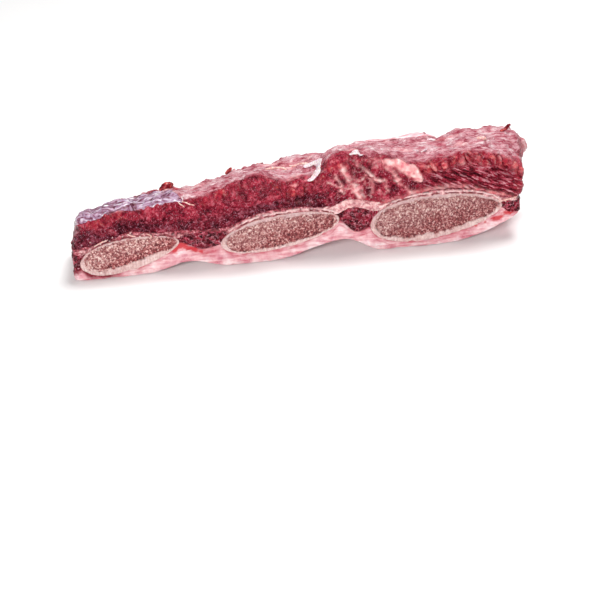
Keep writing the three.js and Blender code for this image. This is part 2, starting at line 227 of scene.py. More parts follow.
def sawn_bone(add, place):
    """Where the spongy mask is 0, dense bone: ivory with hairlines 0.6 mm apart across the rib and a pink
    grain. Where it is 1, random cells from dark red to dusty pink, redder in drifts 4 mm wide and where
    the redder mask is high. Reddish brown where the skin mask is high."""
    across = add("Mapping", Vector=place, Scale=(1.7, 0.3, 0.25))
    hairlines = add("TexNoise", Vector=across, Scale=1.0, Detail=2.0)
    grain = add("TexNoise", Vector=place, Scale=1.1, Detail=3.0, Roughness=0.7)
    ivory = add("ValToRGB", Fac=hairlines, stops=[(0.36, "#cba29f"), (0.64, "#f0dad7"), (0.5, "#debdba")])
    flecked = add("ValToRGB", Fac=grain, stops=[(0.36, "#b88480"), (0.64, "#f0dad5"), (0.5, "#d8b2ae")])
    bone = add("Mix", Factor_Float=0.5, A_Color=ivory, B_Color=flecked)
    dense = add("Mix", Factor_Float="upper", A_Color=bone, B_Color="#b48f92")
    bent = add("TexNoise", Vector=place, Scale=0.8, Detail=2.0, take="Color")
    shifted = add("VectorMath", Vector=bent, Vector_001=(0.9, 0.9, 0.9), Vector_002=place,
                  operation="MULTIPLY_ADD")
    each = add("TexVoronoi", Vector=shifted, Scale=1 / MARROW_HOLE, take="Color")
    grey = add("SeparateColor", Color=each)
    upright = add("Mapping", Vector=shifted, Scale=(0.8, 0.9, 1.5), vector_type="TEXTURE")
    fine = add("TexNoise", Vector=upright, Scale=1.0, Detail=4.0, Roughness=0.8)
    mixed = add("Mix", Factor_Float=0.75, A_Float=grey, B_Float=fine)
    red = add("ValToRGB", Fac=mixed, stops=[(0.36, "#4a0f18"), (0.66, "#eec2bc"), (0.44, "#782428"),
                                            (0.51, "#9a4244"), (0.58, "#c07876")])
    dusty = add("ValToRGB", Fac=mixed, stops=[(0.36, "#6c2e34"), (0.66, "#f6dad2"), (0.44, "#9c5656"),
                                              (0.51, "#b87c7a"), (0.58, "#d4a6a0")])
    drift = add("TexNoise", Vector=place, Scale=0.28, Detail=4.0, Roughness=0.7)
    leaning = add("Mix", Factor_Float=0.45, A_Float=drift, B_Float="redder")
    share = add("MapRange", Value=leaning, From_Min=0.42, From_Max=0.56)
    lighter = add("Mix", Factor_Float=share, A_Color=dusty, B_Color=red)
    marrow = add("Mix", Factor_Float="tone", A_Color=lighter, B_Color="#6e4246")
    inner = add("Mix", Factor_Float="spongy", A_Color=dense, B_Color=marrow)
    colour = add("Mix", Factor_Float="skin", A_Color=inner, B_Color="#a0463f")
    roughness = add("MapRange", Value=grain, To_Min=0.35, To_Max=0.6)
    deep = add("Mix", Factor_Float="spongy", A_Float=grain, B_Float=mixed)
    normal = add("Bump", Height=deep, Strength=0.8, Distance=0.0007)
    return colour, roughness, normal


bone_finish = finish("sawn bone", sawn_bone, IOR=1.54, Subsurface_Weight=0.1, Subsurface_Scale=0.001)
around = np.linspace(0, ROUND, WALL_STEPS, endpoint=False)[:, None]
# Across the wall: the front face from the outside in, the bore, the back face from the inside out, and the
# outside.
ACROSS = np.concatenate([np.linspace(0, 1, FACE_STEPS), np.ones(3), np.linspace(1, 0, FACE_STEPS),
                         np.zeros(3)])
DEPTHS = np.concatenate([np.zeros(FACE_STEPS), [0.05, 0.5, 0.95], np.ones(FACE_STEPS), [0.95, 0.5, 0.05]])
SAWN = (DEPTHS == 0) * 1.0 + (DEPTHS == 1) * 1.0
for which, rib in RIBS.items():
    (x_out, z_out), (x_in, z_in) = rib_outline(rib, around), rib_outline(rib, around, inner=True)
    wall = rib_place(rib, x_out + (x_in - x_out) * ACROSS, FRONT + (BACK - FRONT) * DEPTHS,
                     z_out + (z_in - z_out) * ACROSS)
    rounding = 0.1 * np.exp(-((np.minimum(ACROSS, 1 - ACROSS) / 0.06) ** 2))
    out = 0.1 * rough(wall, 1.2, 11) + 0.12 * rough(wall, 5.0, 12) - rounding
    wall[..., 1] += np.where(DEPTHS > 0.5, 1, -1) * SAWN * out
    above, gone = spongy_reach(rib, around)
    skin = SAWN * np.clip(0.2 + 0.7 * above - ACROSS / 0.12 + 1.4 * rough(wall, 1.5, 13), 0, 0.9)
    spongy = SAWN * clamp(3 * (ACROSS - 1 + gone) + 1.2 * rough(wall, 1.3, 14) + rough(wall, 4, 16))
    upper = SAWN * 0.6 * above * (0.8 + 0.5 * rough(wall, 2.0, 15))
    redder = 0.5 + 0.5 * np.cos(around + RED_SIDE)
    masks = {"skin": skin, "spongy": spongy, "upper": upper, "tone": rib["tone"], "redder": redder}
    closed_skin(f"sawn_rib_wall_{which}", wall, masks, bone_finish, [f"rib_{which}_wall"],
                poles=False)

# --- The marrow of the ribs -----------------------------------------------------------------------
# Inside each wall is spongy bone: a lattice of thin pale struts, with red marrow in its holes, about 0.5 mm
# across. The saw leaves it crumbly, smeared with pink bone dust, and a little below the wall.

MARROW_ROWS = 46  # from the middle of a sawn face to its edge
MARROW_STEPS = 320  # points round it

marrow_finish = finish("spongy bone with marrow", sawn_bone, IOR=1.45, Subsurface_Weight=0.08,
                       Subsurface_Scale=0.001)
reach = (np.arange(MARROW_ROWS) + 0.7) / (MARROW_ROWS - 0.3)
SHARE = np.concatenate([reach, np.ones(2), reach[::-1]])[:, None]
SIDE = np.concatenate([np.zeros(MARROW_ROWS), [0.3, 0.7], np.ones(MARROW_ROWS)])[:, None]
turn = np.linspace(0, ROUND, MARROW_STEPS, endpoint=False)[None, :]
for which, rib in RIBS.items():
    x_in, z_in = rib_outline(rib, turn, inner=True)
    core = rib_place(rib, 0.995 * x_in * SHARE, FRONT + (BACK - FRONT) * SIDE, 0.99 * z_in * SHARE)
    sunk = 0.15 - 0.3 * np.abs(rough(core, 1.0, 21, 2)) + 0.15 * rough(core, 6.0, 22)
    core[..., 1] += np.where(SIDE < 0.5, 1, -1) * ((SIDE == 0) | (SIDE == 1)) * sunk
    above, gone = spongy_reach(rib, turn)
    gone = gone + (1 - SHARE) * rib["high"] / 3
    spongy = clamp(3 * gone + 1.2 * rough(core, 1.3, 14) + rough(core, 4, 16))
    redder = 0.5 + 0.5 * SHARE * np.cos(turn + RED_SIDE)
    masks = {"spongy": spongy, "upper": 0.6 * above, "skin": 0.0, "tone": rib["tone"], "redder": redder}
    closed_skin(f"rib_marrow_{which}", core, masks, marrow_finish, [f"rib_{which}_marrow"])

# --- The belly fascia -----------------------------------------------------------------------------
# A band of fat and fascia closes the underside, flat where a rib bears on the board and arched up between the
# ribs. It is pale pink to white, wet and glossy, in thin layers that show as streaks along the cut, pinker by
# the bone.

SOFT_RELIEF = 0.35  # how far the slow folds stand out
GAP = 0.3  # between neighbouring tissues
EDGE_STEPS = 1441  # places at which a rib's outline is read
TUCK = 0.35  # how far a soft tissue runs in behind the bone's face, so that no crack opens between them
FOLDS = (  # each wave's strength, its numbers along X, Y and Z, and its start
    (0.3, 0.31, 0.22, 0.12, 0.4), (0.25, 0.17, -0.41, 0.35, 1.9), (0.2, 0.72, 0.15, -0.44, 3.1),
    (0.15, -0.55, 0.62, 0.51, 5.2), (0.13, 1.15, 0.31, 0.86, 0.9), (0.1, 0.93, -0.84, 1.2, 2.6),
)
# Each arch's middle, height, and reach to the left and the right.
ARCHES = ((-41.0, 3.2, 17.0, 14.0), (17.0, 5.8, 29.0, 14.0))
TAIL_FROM, TAIL_CURVE = 53.0, 0.0105  # the right end curls up as a parabola
BELLY_KNOTS = (
    (-85, 3.8), (-82.5, 4.9), (-80, 6), (-63.6, 9.1), (-45.5, 12), (-37, 8.4), (-28, 9.6), (-7.2, 12),
    (14.6, 14.2), (21, 9), (28, 10.6), (51.6, 12), (76, 13.2), (79.5, 10.6), (84, 10.6),
)
BLOOD = (  # place along X and Z on the front face, and reach: wet blood that ran out of the cut
    (73.6, 8.2, 1.7), (76.0, 9.0, 1.9), (78.8, 10.2, 1.8), (66.7, 6.1, 0.9), (-44.4, 10.9, 2.3),
    (-42.2, 9.2, 1.9), (-47.0, 9.2, 1.3), (-39.2, 8.0, 1.4), (-75.5, 4.2, 0.8), (70.2, 7.6, 0.7),
    (-37, 7.4, 0.9), (-46.4, 11.6, 1.0),
)


def folds(x, y, z):
    """Slow folds of flesh: six sine waves that cross at odd angles, bent by a seventh, between about -1
    and 1."""
    bend = np.sin(0.21 * x + 0.33 * y + 0.4 * z)
    return sum(s * np.sin(a * x + b * y + c * z + d + bend) for s, a, b, c, d in FOLDS)


def line_through(knots):
    """A smooth line through knots of x and z. Between two knots it is z0 s^2 (1 + 2t) + z1 t^2 (3 - 2t) +
    w t s (m0 s - m1 t) with s = 1 - t, where m is the slope of the chord between a knot's neighbours."""
    kx, kz = np.array(sorted(knots), float).T
    before, after = np.maximum(np.arange(len(kx)) - 1, 0), np.minimum(np.arange(len(kx)) + 1, len(kx) - 1)
    slope = (kz[after] - kz[before]) / (kx[after] - kx[before])

    def height(x):
        i = np.clip(np.searchsorted(kx, x, side="right") - 1, 0, len(kx) - 2)
        w = kx[i + 1] - kx[i]
        t = clamp((x - kx[i]) / w)
        s = 1 - t
        bend = slope[i] * s - slope[i + 1] * t
        return kz[i] * s * s * (1 + 2 * t) + kz[i + 1] * t * t * (3 - 2 * t) + w * t * s * bend

    return height


def underside(x):
    """Height over the board: the highest of the arches h cos^2 and the tail's parabola."""
    arches = [h * np.cos(np.pi / 2 * np.minimum(np.abs(x - m) / np.where(x < m, left, right), 1)) ** 2
              for m, h, left, right in ARCHES]
    return np.maximum.reduce([*arches, TAIL_CURVE * np.maximum(x - TAIL_FROM, 0) ** 2])


def rib_edge(rib, x, y, upper):
    """Height of a rib's upper or lower edge over each x at depth y, read from its outline between its two
    tips."""
    dx, dz = rib_outline(rib, np.linspace(-0.5 * math.pi, 1.5 * math.pi, EDGE_STEPS))
    right, left = dx.argmax(), dx.argmin()
    above = np.arange(right, left + 1)[::-1]
    below = np.concatenate([np.arange(left, EDGE_STEPS), np.arange(1, right + 1)])
    branch, beyond = (above, -np.inf) if upper else (below, np.inf)
    place = x - rib["x"] - RIB_DRIFT[0] * (y - FRONT)
    height = np.interp(place, dx[branch], dz[branch], left=beyond, right=beyond)
    return rib["z"] + RIB_DRIFT[1] * (y - FRONT) + height


def rings_along(start, end, count, radius, shrink, caps, dome=0.0):
    """Rings of a tissue that runs along the strip: each ring's x and size. A ring a distance d from an end
    is drawn in by shrink (1 - sqrt(1 - (1 - d / radius)^2)). More rings close each flat end, which stands
    out by a low dome."""
    even = np.linspace(-1, 1, count)
    x = start + (end - start) * (0.75 * even + 0.25 * np.sin(even * math.pi / 2) + 1) / 2
    d = clamp(np.minimum(x - start, end - x) / radius)
    size = 1 - shrink * (1 - np.sqrt(1 - (1 - d) ** 2))
    cap = np.linspace(0.04, 1, caps, endpoint=False)
    bulge = dome * (1 - cap**2)
    x = np.concatenate([start - bulge, x, (end + bulge)[::-1]])
    size = np.concatenate([cap * (1 - shrink), size, (cap * (1 - shrink))[::-1]])
    return x[:, None], size[:, None]


def rounded_square(sides, above, below):
    """Places p and q from -1 to 1 round a square with rounded corners, |p|^n + |q|^n = 1, where n is above
    over the middle and below under it. sides gives the steps up the front, over the top, down the back and
    along the base."""
    parts = []
    for side, steps in enumerate(sides):
        t = 2 * np.arange(steps) / steps - 1
        full = np.ones(steps)
        parts.append([(-full, t), (t, full), (full, -t), (-t, -full)][side])
    p, q = np.concatenate(parts, axis=1)
    power = np.where(q < 0, below, above)
    shrink = (np.abs(p) ** power + np.abs(q) ** power) ** (-1 / power)
    return p * shrink, q * shrink


def skew(x):
    """How far the back of the strip's ends reaches past the front."""
    return 3.4 * clamp((x - 50) / 34.6) ** 1.5 + 1.2 * clamp((-60 - x) / 25)


def outward(grid):
    """Unit normals of a grid that runs along +X, up the front and down the back: its two directions' cross
    product."""
    along_x = np.gradient(grid, axis=0)
    upward = np.roll(grid, -1, axis=1) - np.roll(grid, 1, axis=1)
    normal = np.cross(along_x, upward)
    return normal / np.maximum(np.linalg.norm(normal, axis=-1, keepdims=True), 1e-12)


def soft_layer(rings, square, low, high, inset):
    """A layer between two heights, low and high, that depend on x and y. Its faces are drawn in by inset
    and stand out by slow folds towards the front and the back."""
    (x, size), (p, q) = rings, square
    p, q = p * size, q * size
    half = (BACK - FRONT) / 2 - inset
    x = x + 0.3 * skew(x) * (p + 1)
    y = p * half
    z = low(x, y) + (high(x, y) - low(x, y)) * (q + 1) / 2
    return at(x, y + p * SOFT_RELIEF * folds(1.3 * x, y, z + 40) * np.abs(p) ** 3, z)


def belly_top(x, y):
    """The line through the ribs and the floors of the spaces, but no higher than a rib's lower edge."""
    line = line_through(BELLY_KNOTS)(x)
    return np.minimum.reduce([line, *(rib_edge(rib, x, y, upper=False) + TUCK for rib in RIBS.values())])


def wet_fascia(add, place):
    """White to pink in streaks 1 mm thick along the cut and blotches 5 mm across, pinker and fleshier
    where those masks are high, with thin bright blood."""
    layers = add("Mapping", Vector=place, Scale=(9.0, 3.0, 1.1), vector_type="TEXTURE")
    streaks = add("TexNoise", Vector=layers, Scale=1.0, Detail=4.0, Distortion=0.6)
    blotch = add("TexNoise", Vector=place, Scale=0.2, Detail=4.0, Roughness=0.6)
    layered = add("ValToRGB", Fac=streaks, stops=[(0.34, "#c4697a"), (0.66, "#fbf0f0"), (0.44, "#da97a1"),
                                                  (0.53, "#e8bbc0"), (0.6, "#f2d8da")])
    washed = add("ValToRGB", Fac=blotch, stops=[(0.38, "#cc7583"), (0.62, "#fae8e8"), (0.5, "#e6b2b8")])
    fat = add("Mix", Factor_Float=0.55, A_Color=layered, B_Color=washed)
    pink = add("Mix", Factor_Float="pinker", A_Color=fat, B_Color="#b8384c")
    fleshy = add("Mix", Factor_Float="flesh", A_Color=pink, B_Color="#7e1a2b")
    colour = add("Mix", Factor_Float="blood", A_Color=fleshy, B_Color="#c21222")
    roughness = add("MapRange", Value=blotch, From_Min=0.3, From_Max=0.7, To_Min=0.22, To_Max=0.42)
    normal = add("Bump", Height=streaks, Strength=0.5, Distance=0.0005)
    return colour, roughness, normal


fascia_finish = finish("wet fat and fascia", wet_fascia, IOR=1.44, Subsurface_Weight=0.25,
                       Subsurface_Radius=(1.0, 0.4, 0.3), Subsurface_Scale=0.002)
rings = rings_along(-85.4, 83.6, count=400, radius=3.0, shrink=0.22, caps=10)
square = rounded_square((34, 40, 34, 44), above=40, below=11)
belly = soft_layer(rings, square, lambda x, y: underside(x), belly_top, inset=0.05)
x, y, z = np.moveaxis(belly, -1, 0)
standing = clamp(z - underside(x) - 0.2)  # the underside itself stays flat on the board
torn = 0.22 * rough(belly, (6, 2, 1.6), 31) + 0.12 * rough(belly, 1.1, 32)
belly = belly + outward(belly) * (standing * torn)[..., None]
near_bone = belly_top(x, y) - z
under_muscle = np.exp(-(((x + 37) / 7) ** 2)) + 0.6 * np.exp(-(((x - 20) / 7) ** 2))
pinker = np.exp(-(near_bone / (1.2 + 2.0 * under_muscle)) ** 2) * (0.6 + 0.9 * rough(belly, (3, 3, 0.9), 33))
pink_line = np.exp(-(((near_bone - 1.6 - rough(at(x, y, 0), 9, 36)) / 0.35) ** 2))
pinker += 0.5 * pink_line * clamp(rough(belly, 4, 37) + 0.4)
pinker = np.clip(pinker, 0, 0.8)
front = clamp(-(y + 11) / 1.5)
spots = sum(np.exp(-((x - bx) ** 2 + 1.6 * (z - bz) ** 2) / reach**2) for bx, bz, reach in BLOOD)
blood = front * np.clip(1.8 * (spots - 0.4 + 0.8 * rough(belly, (1.6, 1, 0.8), 34)), 0, 0.9)
flesh = clamp((-66 - x) / 6) * clamp(1.4 - near_bone / 1.6 + 0.7 * rough(belly, 1.5, 35))
masks = {"pinker": pinker, "flesh": flesh, "blood": blood}
closed_skin("belly_fat_and_fascia", belly, masks, fascia_finish, ["belly_fascia"])

# --- The rib muscles ------------------------------------------------------------------------------
# Between two ribs and at both ends lies rib muscle, cut across its bundles. It is dark red, wet, and speckled
# with pale flecks about 1 mm apart, partly the ends of connective tissue and partly painted glints, and it
# bulges a little out of the cut.

COVER_KNOTS = (
    (-85, 11), (-82.5, 10.9), (-80, 10.6), (-63.6, 9.1), (-45.5, 13.4), (-37, 15.4), (-28, 14), (-7.2, 12),
    (14.6, 16.9), (21, 18.9), (28, 16.6), (51.6, 12), (76, 14.9), (79.5, 15.2), (84, 15.2),
)
MUSCLES = {"left_end": (-85.0, -78.6), "left": (-46.8, -24.6), "right": (11.6, 32.4),
           "right_end": (72.6, 83.8)}


def cover_base(x, y):
    """The line through the ribs and the roofs of the spaces, but no lower than a rib's upper edge."""
    line = line_through(COVER_KNOTS)(x)
    return np.maximum.reduce([line, *(rib_edge(rib, x, y, upper=True) - TUCK for rib in RIBS.values())])


def muscle_floor(x, y):
    """Over the belly fascia between the ribs, and over the ribs' tips."""
    line = line_through(BELLY_KNOTS)(x) - GAP
    return np.maximum.reduce([line, *(rib_edge(rib, x, y, upper=True) - TUCK for rib in RIBS.values())])


def muscle_roof(x, y):
    """Just under the fat over the ribs, and no lower than its own floor."""
    return np.maximum(cover_base(x, y) + GAP, muscle_floor(x, y) + 0.2)


def bundled_muscle(add, place):
    """Bundles 1.1 mm across, from near black through maroon to dusty red, with thin pale webs between some
    of them and pale flecks, partly the ends of connective tissue and partly painted glints on the raised
    bundles."""
    bent = add("TexNoise", Vector=place, Scale=0.7, Detail=3.0, take="Color")
    shifted = add("VectorMath", Vector=bent, Vector_001=(1.4, 1.4, 1.4), Vector_002=place,
                  operation="MULTIPLY_ADD")
    each = add("TexVoronoi", Vector=shifted, Scale=0.9, take="Color")
    grey = add("SeparateColor", Color=each)
    web = add("TexVoronoi", Vector=shifted, Scale=0.9, feature="DISTANCE_TO_EDGE")
    specks = add("TexNoise", Vector=shifted, Scale=1.1, Detail=3.0, Roughness=0.7)
    shade = add("Mix", Factor_Float=0.65, A_Float=grey, B_Float=specks)
    bundle = add("ValToRGB", Fac=shade, stops=[(0.3, "#24030a"), (0.7, "#b84a5e"), (0.42, "#4e0b18"),
                                               (0.54, "#7a1a2a"), (0.63, "#992e40")])
    drift = add("TexNoise", Vector=place, Scale=0.5, Detail=4.0, Roughness=0.7)
    thin = add("MapRange", Value=web, From_Min=0.0, From_Max=0.12, To_Min=1.0, To_Max=0.0)
    some = add("MapRange", Value=drift, From_Min=0.45, From_Max=0.7, To_Max=0.75)
    webbed = add("Math", Value=thin, Value_001=some, operation="MULTIPLY")
    # Painted glints: the highest specks turn pale pink, partly connective tissue and partly painted
    # highlight.
    fleck_and_glint = add("MapRange", Value=specks, From_Min=0.58, From_Max=0.66, To_Max=0.85)
    pale = add("Math", Value=webbed, Value_001=fleck_and_glint, operation="MAXIMUM")
    colour = add("Mix", Factor_Float=pale, A_Color=bundle, B_Color="#e0a4b0")
    roughness = add("MapRange", Value=drift, From_Min=0.3, From_Max=0.7, To_Min=0.2, To_Max=0.4)
    normal = add("Bump", Height=specks, Strength=0.9, Distance=0.001)
    return colour, roughness, normal


muscle_finish = finish("cut rib muscle", bundled_muscle, IOR=1.42, Specular_IOR_Level=0.3,
                       Specular_Tint="#f28c98", Subsurface_Weight=0.05, Subsurface_Scale=0.001)
for which, (start, end) in MUSCLES.items():
    rings = rings_along(start, end, count=10 + int(2.4 * (end - start)), radius=1.5, shrink=0.15, caps=6)
    square = rounded_square((30, 30, 24, 20), above=20, below=20)
    muscle = soft_layer(rings, square, muscle_floor, muscle_roof, inset=0.35)
    lumpy = 0.35 * rough(muscle, 2.4, 41) + 0.25 * np.abs(rough(muscle, 1.2, 42))
    muscle = muscle + outward(muscle) * lumpy[..., None]
    closed_skin(f"cut_rib_muscle_{which}", muscle, {}, muscle_finish, [f"rib_muscle_{which}"])

# --- The fat over the ribs ------------------------------------------------------------------------
# A thinner band of fat and torn membrane covers the ribs and the spaces between them. Just over each bone is
# its skin, a pale ragged line with dark chinks under it. The fat is beige-pink and thickest over the
# right-hand space.

COVER_TOP_KNOTS = (
    (-85, 12.8), (-74, 14.6), (-62, 18.0), (-54, 16.6), (-42, 16.4), (-27, 16), (-14, 20.4), (0, 21.2),
    (12, 20.2), (19, 22.2), (27, 21.2), (33, 19.4), (45, 21.9), (64, 21.6), (76, 17.6), (85, 16.6),
)
FATNESS = (  # how much of the band is fat and not torn red flesh, along X
    (-85, -0.2), (-80, 0.1), (-72, -0.1), (-60, -0.05), (-48, -0.1), (-36, -0.2), (-27, -0.1), (-20, 0.15),
    (-5, 0.2), (8, 0.3), (13, 0.95), (21, 1.15), (29, 1.0), (35, 0.75), (42, 0.65), (50, 0.6), (62, 0.6),
    (75, 0.6), (84, 0.35),
)
cover_top = line_through(COVER_TOP_KNOTS)


def cover_roof(x, y):
    """The line along the top of the fat, a little up into the lean, and never lower than a thin skin."""
    return np.maximum(cover_top(x) + 0.15, cover_base(x, y) + 0.4)


def torn_fat(add, place):
    """Beige-pink grains of fat 1.3 mm across, torn red flesh where the fatty mask is low, a pale membrane
    and dark chinks."""
    grain = add("TexNoise", Vector=place, Scale=0.75, Detail=4.0, Roughness=0.65)
    fat = add("ValToRGB", Fac=grain, stops=[(0.36, "#c47680"), (0.64, "#f8dcd8"), (0.5, "#e2aaaa")])
    flesh = add("ValToRGB", Fac=grain, stops=[(0.36, "#400814"), (0.66, "#e6aab0"), (0.46, "#781828"),
                                              (0.56, "#aa4050")])
    band = add("Mix", Factor_Float="fatty", A_Color=flesh, B_Color=fat)
    pale = add("Mix", Factor_Float="membrane", A_Color=band, B_Color="#f0cfcd")
    colour = add("Mix", Factor_Float="chink", A_Color=pale, B_Color="#6e101c")
    roughness = add("MapRange", Value=grain, To_Min=0.25, To_Max=0.5)
    normal = add("Bump", Height=grain, Strength=0.8, Distance=0.0006)
    return colour, roughness, normal


cover_finish = finish("torn fat over bone", torn_fat, IOR=1.44, Subsurface_Weight=0.15,
                      Subsurface_Radius=(1.0, 0.4, 0.3), Subsurface_Scale=0.0015)
rings = rings_along(-85.0, 83.6, count=430, radius=2.0, shrink=0.3, caps=8)
cover = soft_layer(rings, rounded_square((30, 30, 24, 30), above=40, below=40), cover_base, cover_roof,
                   inset=0.1)
x, y, z = np.moveaxis(cover, -1, 0)
edges = [rib_edge(rib, x, y, upper=True) for rib in RIBS.values()]
FAR = 9  # anything well over the bone
over_bone = np.minimum.reduce([np.where(np.isfinite(edge), z - edge, FAR) for edge in edges])
faces = clamp((np.abs(y) - 11) / 1.5)
ragged = rough(at(x, y, 0), 1.7, 51)
lined = 0.15 + 0.7 * clamp((x + 30) / 8)  # the skin of the left rib is mostly torn away
membrane = faces * lined * np.exp(-(((over_bone - 0.95 + 0.5 * ragged) / 0.4) ** 2))
membrane = membrane * clamp(0.8 + 1.5 * ragged)
chink = faces * np.exp(-(((over_bone - 0.3 + 0.25 * ragged) / 0.3) ** 2))
chink = chink * clamp(0.6 + 3.0 * rough(at(x, 0, 0), 1.3, 52))
fatty = line_through(FATNESS)(x) + 1.3 * rough(cover, (3.0, 2, 1.0), 53) + 0.7 * rough(cover, 0.8, 54)
fatty = clamp(fatty - 0.7 * clamp(1 - (cover_top(x) - z) / 0.9))
torn = 0.3 * rough(cover, 2.0, 55) + 0.22 * rough(cover, 0.8, 56) + 0.3 * membrane - 0.25 * chink
cover = cover + outward(cover) * (faces * torn)[..., None]
closed_skin("fat_over_the_ribs", cover, {"fatty": fatty, "membrane": membrane, "chink": chink}, cover_finish,
            ["cover_fat"])

# --- The lean -------------------------------------------------------------------------------------
# The thick slab on top is muscle, sawn through at the front and back and torn along its top. Its cut is
# crimson and speckled, with painted glints on the raised speckles and painted shade in the pits, and almost
# black towards the ribs, partly the flesh's own colour and partly painted shade under the overhang and in
# the grooves. The top is dry, fibrous along the strip and painted pale, partly its film and partly painted
# sheen, with a frilled edge whose ridges carry a painted highlight.

LEFT, RIGHT = -85.2, 84.6
CREST_KNOTS = (  # its front upper edge
    (-85, 24), (-76, 25.6), (-66, 27.8), (-58, 27), (-45, 29.6), (-40, 28), (-25, 31.8), (-14, 33.9),
    (-9, 31.6), (-4, 28), (3, 29.2), (8, 31.8), (13, 37), (21, 38.8), (33, 36.8), (44, 32.8), (58, 34.4),
    (66, 35.8), (75, 33), (85, 28.2),
)
REAR_KNOTS = (  # its back upper edge
    (-85, 15.8), (-77, 17.6), (-66, 19.6), (-54, 22.4), (-46, 22.8), (-36, 24.2), (-20, 27.8), (-4, 30.2),
    (20, 33), (34, 34.4), (48, 35.4), (57, 33.8), (66, 35.6), (85, 35),
)
KNOBS = (  # middle, reach along X, Y and Z, and how far it stands out
    ((-46.5, 7, 25), (2.4, 5, 6), 2.6), ((38, -12, 34), (6.5, 5, 5), 1.6), ((20, -12, 36), (7, 4, 4), 1.2),
    ((-13, -13, 31), (5, 3, 3.5), 1.5), ((52, -13, 33.5), (9, 3, 3), 1.3), ((70, -13, 33), (9, 3, 3), 1.5),
    ((60, -13, 26), (15, 4, 3.2), -2.6), ((-3, -13, 24), (16, 4, 3), -1.6),
    ((-66, -13, 20), (14, 4, 2.4), -1.5), ((-30, -13, 19), (16, 4, 2.4), -1.2),
    ((-74, -13, 22.8), (3.4, 3, 1.9), 0.9), ((-66, -13, 25), (3.8, 3, 1.7), 0.8),
    ((58, -13, 30.2), (11, 3, 1.5), -0.9), ((77, -13, 28), (6, 3, 1.8), -1.1),
    ((-50, -13, 18), (9, 3, 1.8), -0.7), ((8, -13, 24), (9, 3, 2.2), -0.8),
)
FLAP_PLACE, FLAP_REACH, FLAP_OUT = (9.5, 27.5), (4.5, 3.2), 4.2  # along Y and Z, and how far it hangs out
NUB_PLACE = (-46.5, 4.5)  # along X and Y: a red knob by the end of the silverskin
THICK_END = 42  # from here on the front edge is frilled and the cut is in strands
# Under this height the cut is painted darkest, partly dark flesh and partly painted shade of the recess.
DARK_LIMIT = (  # height on the cut under which the lean is darkest
    (-84, 22), (-73, 21.6), (-64, 23), (-58, 23.4), (-50, 22.4), (-38, 22.0), (-25, 23.6), (-15, 25.0),
    (-10, 25.4), (-4.4, 25.5), (3, 27.4), (12, 25), (20, 22.5), (33, 22), (45, 24), (52, 28), (60, 30.5),
    (68, 31), (76, 28), (84, 24),
)
DARKNESS = (  # how dark it is there
    (-84, 0.9), (-64, 1), (-50, 0.8), (-38, 0.65), (-25, 0.7), (-15, 0.9), (-4, 1), (5, 1), (12, 0.75),
    (22, 0.3), (40, 0.25), (50, 0.5), (60, 0.5), (70, 0.35), (84, 0.2),
)
# Two red lumps at the thin end: their places, reaches and strengths.
WARM_LUMPS = (((-74, -13, 22.8), (3, 3, 1.6), 0.8), ((-66, -13, 25), (3.6, 3, 1.5), 0.6))
TORN_EDGE = (  # how far back along Y the red cut reaches over the front edge before the pale top starts
    (-84, -12), (-60, -12), (-44, -11.5), (-30, -11), (-20, -11.5), (-13, -10), (-6, -7.5), (4, -7), (9, -9),
    (14, -8.5), (22, -9), (34, -10), (44, -11), (60, -11), (84, -10),
)
VEINS = (  # place along X and Z of each vein of fat across the cut, and its half width
    ([(17.0, 35.6), (18.2, 33.5), (19.8, 31.2), (22, 26.6), (23.6, 23.2)], 0.9),
    ([(27.6, 38), (28.9, 37.2), (32.1, 36.1), (34.7, 34), (36.4, 31.2), (37.6, 28.2)], 0.65),
    ([(27.4, 30), (28.2, 27), (27.6, 24.6)], 0.4), ([(32.4, 29), (33, 27), (33.4, 24)], 0.35),
    ([(20, 31.2), (23, 30), (25.6, 31.5)], 0.4), ([(11.5, 30), (15, 28.2), (19.6, 26.8)], 0.3),
    ([(22.5, 37), (26.2, 33.2), (29, 29.8), (31.8, 28.6)], 0.45), ([(14, 33), (16.5, 29), (17.2, 25)], 0.35),
    ([(38, 27), (40.6, 24.8), (42, 22.8)], 0.45),
)
FAT_LOBE = [(31.4, 37.0), (34, 36.4), (37, 35.4), (40, 34), (42.8, 32.2), (45, 29.8), (46.2, 27.4)]
LOBE_WIDTH = ((31, 0.5), (34, 1.0), (37, 1.7), (40.5, 2.2), (43, 2.0), (45.4, 1.2), (47, 0.6))  # along X
STRAND_TILT = 0.45  # how far the strands at the thick end slope down to the right, in radians
along_strands, over_strands = math.cos(STRAND_TILT), math.sin(STRAND_TILT)
# Turns points so that the first coordinate runs along the strands.
TURNED = np.array([(along_strands, 0, over_strands), (0, 1, 0), (-over_strands, 0, along_strands)])
crest, rear = line_through(CREST_KNOTS), line_through(REAR_KNOTS)


def bunches(phase):
    """Ridges with sharp valleys between them: |sin(pi t)| - 0.5."""
    return np.abs(np.sin(math.pi * phase)) - 0.5


def hill(distance):
    """A smooth hump, exp(-d^2)."""
    return np.exp(-distance * distance)


def near_path(x, z, path):
    """Distance over the cut face from each place to a bent line: the least of its straight pieces'
    distances."""
    place = np.stack([x, z], axis=-1)
    least = np.full(x.shape, np.inf)
    for start, end in zip(np.array(path[:-1], float), np.array(path[1:], float)):
        t = clamp((place - start) @ (end - start) / ((end - start) @ (end - start)))
        least = np.minimum(least, np.linalg.norm(place - start - t[..., None] * (end - start), axis=-1))
    return least


